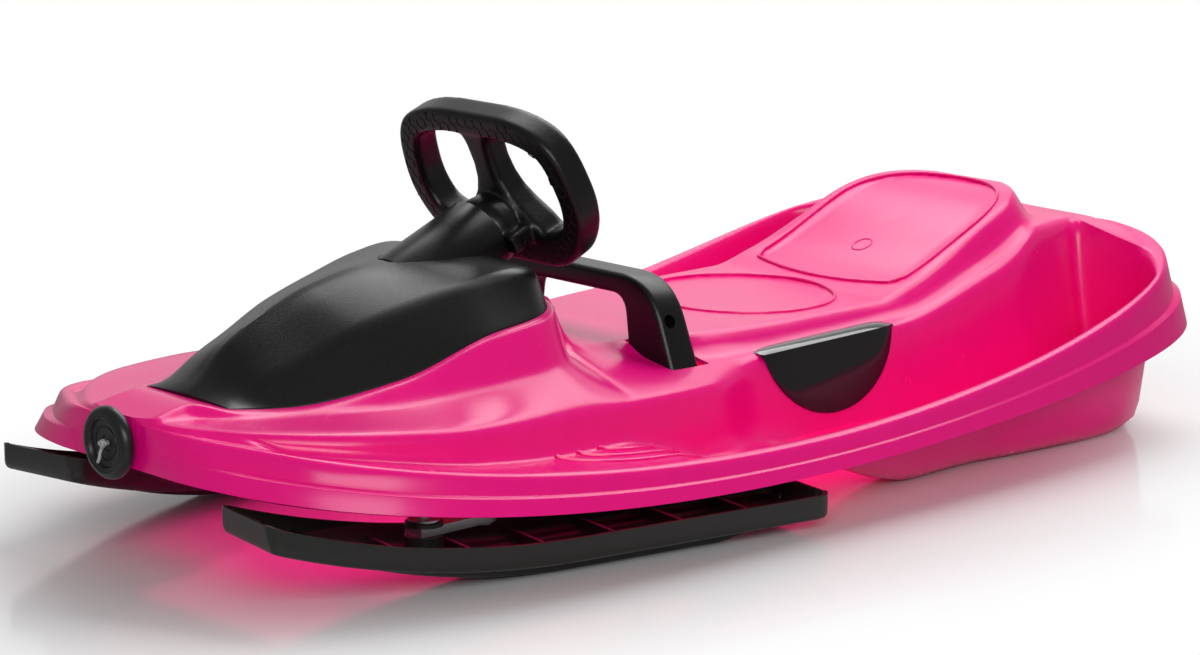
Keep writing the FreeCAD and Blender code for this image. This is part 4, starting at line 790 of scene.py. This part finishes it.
def in_rim(across, up):
    """How far a place of the wheel's front lies inside the rim's bar."""
    return max(RIM_BAR / 2 - math.hypot(across - middle.x, up - middle.y) for middle in RIM_MIDDLE)


lines = bpy.data.curves.new("hexagons", "CURVE")
lines.dimensions = "3D"
lines.bevel_depth = HEX_LINE * MM
for row in range(-8, 14):
    for column in range(-12, 13):
        across = ROOT_3 * HEX_SIDE * (column + 0.5 * (row % 2))
        up = 1.5 * HEX_SIDE * row
        spokes = [math.radians(60 * k + 30) for k in range(4)]
        ring = [(across + HEX_SIDE * math.cos(t), up + HEX_SIDE * math.sin(t)) for t in spokes]
        for near, far in zip(ring, ring[1:]):
            if min(in_rim(*near), in_rim(*far)) > HEX_EDGE:
                line = lines.splines.new("POLY")
                line.points.add(1)
                for point, place in zip(line.points, (near, far)):
                    point.co = (*(on_column(*place, RIM_DEPTH / 2) * MM), 1)
hexagons = bpy.data.objects.new("hexagons", lines)
bpy.context.scene.collection.objects.link(hexagons)
start_fresh()
hexagons.select_set(True)
bpy.context.view_layer.objects.active = hexagons
bpy.ops.object.convert(target="MESH")
hexagons = bpy.context.object
wheel = joined([wheel, hexagons])
dress(wheel, "steering", "trim_black", trim, "steering_wheel")

# Brake arch: a black grained handle over the saddle, wide at its feet and thin at its
# top; its feet turn on an axle below the deck and each leg has a sunk screw hole.
ARCH_TOP, ARCH_BAR, ARCH_HALF, ARCH_INNER_HALF = 210, 20, 106, 70
ARCH_CORNER, ARCH_INNER_CORNER, ARCH_ROUND = 60, 20, 6
FOOT_END, FOOT_STEPS = 17.5, ((17, 0.3), (13, 0.72), (7, 0.93))
SCREW_HOLE, SCREW_Y, SCREW_Z = [(0, -6), (6.5, -6), (6.5, 20), (0, 20)], 112, 168
FORE = Vector((1, 0, 0))


def arch_run(half, top_half, top, radius):
    """Points along one side of the arch in front view, from the left foot to the right one."""
    corners = [Vector(p) for p in ((half, BRAKE_Z), (top_half, top), (-top_half, top), (-half, BRAKE_Z))]
    points = []
    for i in (1, 2):
        here = corners[i]
        back, ahead = corners[i - 1] - here, corners[i + 1] - here
        reach = radius / math.tan(back.angle(ahead) / 2)
        a, b = here + back.normalized() * reach, here + ahead.normalized() * reach
        if i == 1:
            points += [corners[0].lerp(a, k / 10) for k in range(10)]
        points += bent(a, here, b, 14)
        if i == 1:
            points += [b.lerp(Vector((-b.x, b.y)), k / 8) for k in range(1, 8)]
    return points + [Vector((-p.x, p.y)) for p in reversed(points[:10])]


def nearest(point, row):
    """Number of the place in the row that lies nearest to the point."""
    return min(range(len(row)), key=lambda k: (Vector(row[k]) - Vector(point)).length)


outer_run = arch_run(BRAKE_OUTER, ARCH_HALF, ARCH_TOP, ARCH_CORNER)
inner_run = arch_run(BRAKE_INNER, ARCH_INNER_HALF, ARCH_TOP - ARCH_BAR, ARCH_INNER_CORNER)
rows = []
for outer, inner in zip(outer_run, inner_run):
    middle, span = (outer + inner) / 2, outer - inner
    depth = BRAKE_DEPTH - (min(outer.y, ARCH_TOP) - BRAKE_Z) / (ARCH_TOP - BRAKE_Z)
    way = span.normalized()
    section = soft_rect(depth, span.length / 2, ARCH_ROUND)
    rows.append([(BRAKE_X + a, middle.x + way.x * b, middle.y + way.y * b) for a, b in section])
count = len(rows[0])
feet = []
for drop, share in FOOT_STEPS:
    feet.append([(BRAKE_X + (x - BRAKE_X) * share, y, BRAKE_Z - drop) for x, y, z in rows[0]])
tip = [(BRAKE_X, (BRAKE_OUTER + BRAKE_INNER) / 2, BRAKE_Z - FOOT_END)] * count
mirror = [[(x, -y, z) for x, y, z in row] for row in reversed(feet)]
order = [nearest(place, mirror[0]) for place in rows[-1]]
rows = [tip] + feet + rows + [[row[k] for k in order] for row in mirror] + [[(x, -y, z) for x, y, z in tip]]
arch = sheet("brake_arch", rows)
face_out()
for side in (1, -1):
    mouth, way = Vector((BRAKE_X + 5, side * SCREW_Y, SCREW_Z)), Vector((0, side * 0.93, 0.36))
    cut(arch, turned("screw_hole", SCREW_HOLE, mouth, way, FORE, 32))
bpy.ops.object.shade_smooth_by_angle(angle=math.radians(40))
dress(arch, "brake", "trim_black", trim, "brake_arch")

# Side covers: glossy black half-moon plates on the bench's side walls, clipped over the
# shoulder by a lip; the right one mirrors the left one.
COVER_X, COVER_Y, COVER_HALF, COVER_DROP = -143, 150, 88, 70
COVER_LIFT, COVER_WALL = 3.2, 1.4
OUT = Vector((0, 1, 0.2)).normalized()
FALL = Vector((0, 0.2, -1)).normalized()


def cover_row(share):
    """From the lip's inner edge over the fold and down to the half-moon's lower edge."""
    along = COVER_HALF * share
    x = COVER_X + along
    arc_radius = (COVER_HALF ** 2 + COVER_DROP ** 2) / (2 * COVER_DROP)
    drop = max(0.0, math.sqrt(max(0.0, arc_radius ** 2 - along ** 2)) - (arc_radius - COVER_DROP))
    top = Vector((x, COVER_Y, faired(x, SHOULDER_Z) + 2.0))
    lift = COVER_LIFT * (1 - share ** 8)
    row = [top + Vector((0, -14, 0.2)), top + Vector((0, -13.5, lift)), top + Vector((0, -7, lift + 0.2)),
           top + Vector((0, -1.5, lift - 0.6)), top + OUT * lift + FALL * 1.2 + Vector((0, 0, 0.6))]
    for k in range(1, 9):
        row.append(top + OUT * (lift + 0.3 * math.sin(math.pi * k / 9)) + FALL * (drop * k / 9))
    row += [top + OUT * lift * 0.85 + FALL * drop * 0.985, top + OUT * 0.3 + FALL * drop]
    return row


def mirrored(piece, name):
    """A copy of the piece for the sled's other side."""
    start_fresh()
    piece.select_set(True)
    bpy.context.view_layer.objects.active = piece
    bpy.ops.object.duplicate()
    twin = bpy.context.object
    twin.name = name
    twin.data.transform(Matrix.Scale(-1, 4, ACROSS))
    face_out()
    return twin


shares = [math.sin(math.pi / 2 * k / 24) for k in range(-24, 25)]
side_cover = sheet("side_cover_left", [cover_row(s) for s in shares])
thicken(side_cover, COVER_WALL, -1)
bpy.ops.object.shade_smooth_by_angle(angle=math.radians(40))
gloss_black = plastic("cover_black", (0.006, 0.005, 0.006), 0.1, 0.05, 60, 0.01, tone=0.4, coat=0.3,
                      shine=0.4)
far_cover = mirrored(side_cover, "side_cover_right")
dress(side_cover, "hull", "cover_black", gloss_black, "side_cover_left")
dress(far_cover, "hull", "cover_black", gloss_black, "side_cover_right")

# Skis: black polypropylene trays with rounded edges, a lower keel along the middle, cross
# ribs inside and a hub for the kingpin; each stands a little toed in.
KING_X, KING_Y, TOE = 381, 180, 9.5
SKI_REAR, SKI_FRONT, SKI_HALF, SKI_SIDE = -17, 553, 50, 23
FLAT_X, SKI_LOW, SKI_BOW, SKI_CORNER, SKI_WALL = 250, 12, 900, 16, 3
KEEL_HALF, KEEL_BOW, KEEL_HEEL, KEEL_RAMP = 26, 650, 28, 60
RIB_THICK, RIB_WIDE, RIB_TALL, RIB_LIFT = 3, 95, 11, 6.5
KINGPIN, SKYWARD = Vector((KING_X, 0, 0)), Vector((0, 0, 1))


def rise(x, radius):
    ahead = max(0.0, x - FLAT_X)
    return radius - math.sqrt(radius ** 2 - ahead ** 2)


def ski_floor(x):
    return SKI_LOW + rise(x, SKI_BOW)


def ski_row(x):
    """One section of the tray's outer face: side wall, floor, keel step and back up."""
    floor_z = ski_floor(x)
    inset = min(x - SKI_REAR, SKI_FRONT - x)
    corner = max(0.0, SKI_CORNER - inset)
    half = SKI_HALF - (SKI_CORNER - math.sqrt(SKI_CORNER ** 2 - corner ** 2))
    end_lift = SKI_SIDE * (1 - min(1.0, inset / 6)) ** 3
    keel = max(0.0, min(1.0, (x - KEEL_HEEL) / KEEL_RAMP)) * max(0.0, floor_z - rise(x, KEEL_BOW))
    step = KEEL_HALF + 3
    corners = [(half, floor_z + SKI_SIDE, 0, 3), (half, floor_z, 7, 2), (step, floor_z, 2, 0),
               (KEEL_HALF, floor_z - keel, 4, 2), (0, floor_z - keel, 0, 0)]
    run = [(p.x, max(p.y, floor_z + end_lift)) if p.x > step or end_lift > 0.5 else (p.x, p.y)
           for p in rounded_run(corners)]
    return [(x, -y, z) for y, z in run] + [(x, y, z) for y, z in reversed(run[:-1])]


xs = [SKI_REAR + v for v in (0.05, 0.5, 1.2, 2.4, 4, 6, 9, 12, 16)]
xs += [SKI_REAR + 24 + 9.5 * k for k in range(56)]
xs = [x for x in xs if x < SKI_FRONT - 18] + [SKI_FRONT - v for v in (16, 12, 9, 6, 4, 2.4, 1.2, 0.5, 0.05)]
tray = sheet("ski_left", [ski_row(x) for x in xs])
thicken(tray, SKI_WALL, 1)
inside = []
for k in range(1, 8):
    x = SKI_REAR + (SKI_FRONT - SKI_REAR) * k / 8
    start_fresh()
    bpy.ops.mesh.primitive_cube_add(size=1)
    rib = bpy.context.object
    rib.data.transform(Matrix.Diagonal((RIB_THICK * MM, RIB_WIDE * MM, RIB_TALL * MM, 1)))
    rib.data.transform(Matrix.Translation(Vector((x, 0, ski_floor(x) + RIB_LIFT)) * MM))
    inside.append(rib)
post_wall = [(9, 26), (17, 26), (17, 45.8), (9, 45.8), (9, 26)]
post = turned("ski_hub", post_wall, KINGPIN, SKYWARD, FORE)
crown_wall = [(9, 54.2), (17, 54.2), (16.4, 57.6), (9, 58), (9, 54.2)]
crown = turned("ski_hub_top", crown_wall, KINGPIN, SKYWARD, FORE)
ski = joined([tray] + inside + [post, crown])
bpy.ops.object.shade_smooth_by_angle(angle=math.radians(35))
turn = Matrix.Translation((KING_X * MM, KING_Y * MM, 0)) @ Matrix.Rotation(math.radians(-TOE), 4, "Z")
ski.data.transform(turn @ Matrix.Translation((-KING_X * MM, 0, 0)))
ski_black = plastic("ski_black", (0.018, 0.017, 0.016), 0.34, 0.2, 400, 0.2, tone=0.6, shine=0.4)
far_ski = mirrored(ski, "ski_right")
dress(ski, "ski_left", "ski_black", ski_black, "ski_left")
dress(far_ski, "ski_right", "ski_black", ski_black, "ski_right")

# Tow handle: a round black grip on the nose with ring grooves and a dished front; the
# cord comes out of its middle and ends in a knot with a short loose tail.
TOW = Vector((570.9, 0, 126))
grip = [(2.2, 0), (26, 0), (30, 1.2), (31.6, 3.4), (32, 6), (31.2, 9.4), (29, 12), (26.6, 12.9), (25.4, 12.9),
        (24.6, 12), (23.6, 12), (22.8, 12.6), (21.6, 12.4), (20.8, 11), (20.2, 9.4), (15.4, 9.0), (15, 8.2),
        (14, 8.2), (13.6, 8.9), (7, 8.4), (6.4, 7.4), (2.2, 7.2), (2.2, 0)]
handle = turned("tow_handle", grip, TOW, FORE, ACROSS, 72)
bpy.ops.object.shade_smooth_by_angle(angle=math.radians(35))
handle_black = plastic("handle_black", (0.012, 0.012, 0.013), 0.34, 0.2, 700, 0.25, tone=0.6, shine=0.4)
dress(handle, "tow_handle", "handle_black", handle_black, "tow_handle")

KNOT, KNOT_DEPTH, KNOT_SPAN, KNOT_CORD = TOW + FORE * 12.4, 1.9, 0.92, 1.6
turns = [2 * math.pi * k / 60 for k in range(60)]
coil = [KNOT + Vector((-math.sin(3 * a) * KNOT_DEPTH, (math.sin(a) + 2 * math.sin(2 * a)) * KNOT_SPAN,
                       (math.cos(a) - 2 * math.cos(2 * a)) * KNOT_SPAN)) for a in turns]
knot = tube("cord_knot", coil, KNOT_CORD, 10, True)
TAIL_LENGTH, TAIL_WAVE, TAIL_CORD = 18, 0.5, 1.5
tail_way = Vector((0.1, -0.3, -0.95)).normalized()
tail_run = [KNOT + tail_way * (TAIL_LENGTH * k / 10) + ACROSS * (TAIL_WAVE * math.sin(k)) for k in range(11)]
tail = tube("cord_tail", tail_run, TAIL_CORD)
knot = joined([knot, tail])
bpy.ops.object.shade_smooth()


def braid(name, colour):
    """Braided cord: crossed strands in the tone and in the relief."""
    made = bpy.data.materials.new(name)
    made.use_nodes = True
    tree = made.node_tree
    shader = tree.nodes["Principled BSDF"]
    shader.inputs["Roughness"].default_value = 0.8
    place = tree.nodes.new("ShaderNodeTexCoord")
    strands = []
    for lean in (0.7, -0.7):
        turn = tree.nodes.new("ShaderNodeMapping")
        turn.inputs["Rotation"].default_value = (lean, lean, lean)
        tree.links.new(place.outputs["Object"], turn.inputs["Vector"])
        wave = tree.nodes.new("ShaderNodeTexWave")
        wave.inputs["Scale"].default_value = 260
        tree.links.new(turn.outputs["Vector"], wave.inputs["Vector"])
        strands.append(wave.outputs["Fac"])
    cross = tree.nodes.new("ShaderNodeMath")
    cross.operation = "MULTIPLY"
    tree.links.new(strands[0], cross.inputs[0])
    tree.links.new(strands[1], cross.inputs[1])
    tone = tree.nodes.new("ShaderNodeMix")
    tone.data_type = "RGBA"
    tone.inputs["A"].default_value = (*[c * 0.6 for c in colour], 1)
    tone.inputs["B"].default_value = (*colour, 1)
    tree.links.new(cross.outputs[0], tone.inputs["Factor"])
    tree.links.new(tone.outputs["Result"], shader.inputs["Base Color"])
    relief = tree.nodes.new("ShaderNodeBump")
    relief.inputs["Strength"].default_value = 0.6
    relief.inputs["Distance"].default_value = GRAIN_DEPTH
    tree.links.new(cross.outputs[0], relief.inputs["Height"])
    tree.links.new(relief.outputs["Normal"], shader.inputs["Normal"])
    return made


cord_grey = braid("cord_grey", (0.6, 0.6, 0.61))
dress(knot, "tow_handle", "cord_grey", cord_grey, "cord_knot")

# Hidden gear: zinc-plated steel shafts, pins, rods and claw, grey moulded bushes, bracket
# and reel, and the cord on the reel; they keep their solids and get their finish.


def plated(name, colour):
    """Zinc-plated steel: a bright metal with a drawn grain along it."""
    made = bpy.data.materials.new(name)
    made.use_nodes = True
    tree = made.node_tree
    shader = tree.nodes["Principled BSDF"]
    shader.inputs["Metallic"].default_value = 1.0
    place = tree.nodes.new("ShaderNodeTexCoord")
    stretch = tree.nodes.new("ShaderNodeMapping")
    stretch.inputs["Scale"].default_value = (60, 60, 900)
    noise = tree.nodes.new("ShaderNodeTexNoise")
    noise.inputs["Scale"].default_value = 1.0
    tree.links.new(place.outputs["Object"], stretch.inputs["Vector"])
    tree.links.new(stretch.outputs["Vector"], noise.inputs["Vector"])
    tone = tree.nodes.new("ShaderNodeMix")
    tone.data_type = "RGBA"
    tone.inputs["A"].default_value = (*[c * 0.78 for c in colour], 1)
    tone.inputs["B"].default_value = (*colour, 1)
    tree.links.new(noise.outputs["Fac"], tone.inputs["Factor"])
    tree.links.new(tone.outputs["Result"], shader.inputs["Base Color"])
    rough = tree.nodes.new("ShaderNodeMapRange")
    rough.inputs["To Min"].default_value = 0.25
    rough.inputs["To Max"].default_value = 0.5
    tree.links.new(noise.outputs["Fac"], rough.inputs["Value"])
    tree.links.new(rough.outputs["Result"], shader.inputs["Roughness"])
    return made


steel = plated("steel", (0.6, 0.61, 0.63))
bush_grey = plastic("bush_grey", (0.09, 0.09, 0.095), 0.45, 0.2, 500, 0.2)
GREY = ("upper_bush", "lower_bush", "ski_bush_left", "ski_bush_right", "nose_bush", "column_bracket",
        "reel_housing_left", "reel_housing_right", "reel_drum")
CORD = ("tow_cord", "cord_winding")
STEEL = ("steering_shaft", "wheel_bolt", "steering_crank", "crank_pin", "ski_arm_left", "ski_arm_right",
         "kingpins", "kingpin_washers", "tie_rod", "rod_pin_left", "rod_pin_right", "brake_claw",
         "brake_axle", "brake_springs", "reel_axle", "hood_screws", "bracket_screws")
for labels, paint in ((GREY, bush_grey), (CORD, cord_grey), (STEEL, steel)):
    for label in labels:
        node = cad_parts[label]
        node.data.materials.clear()
        node.data.materials.append(paint)
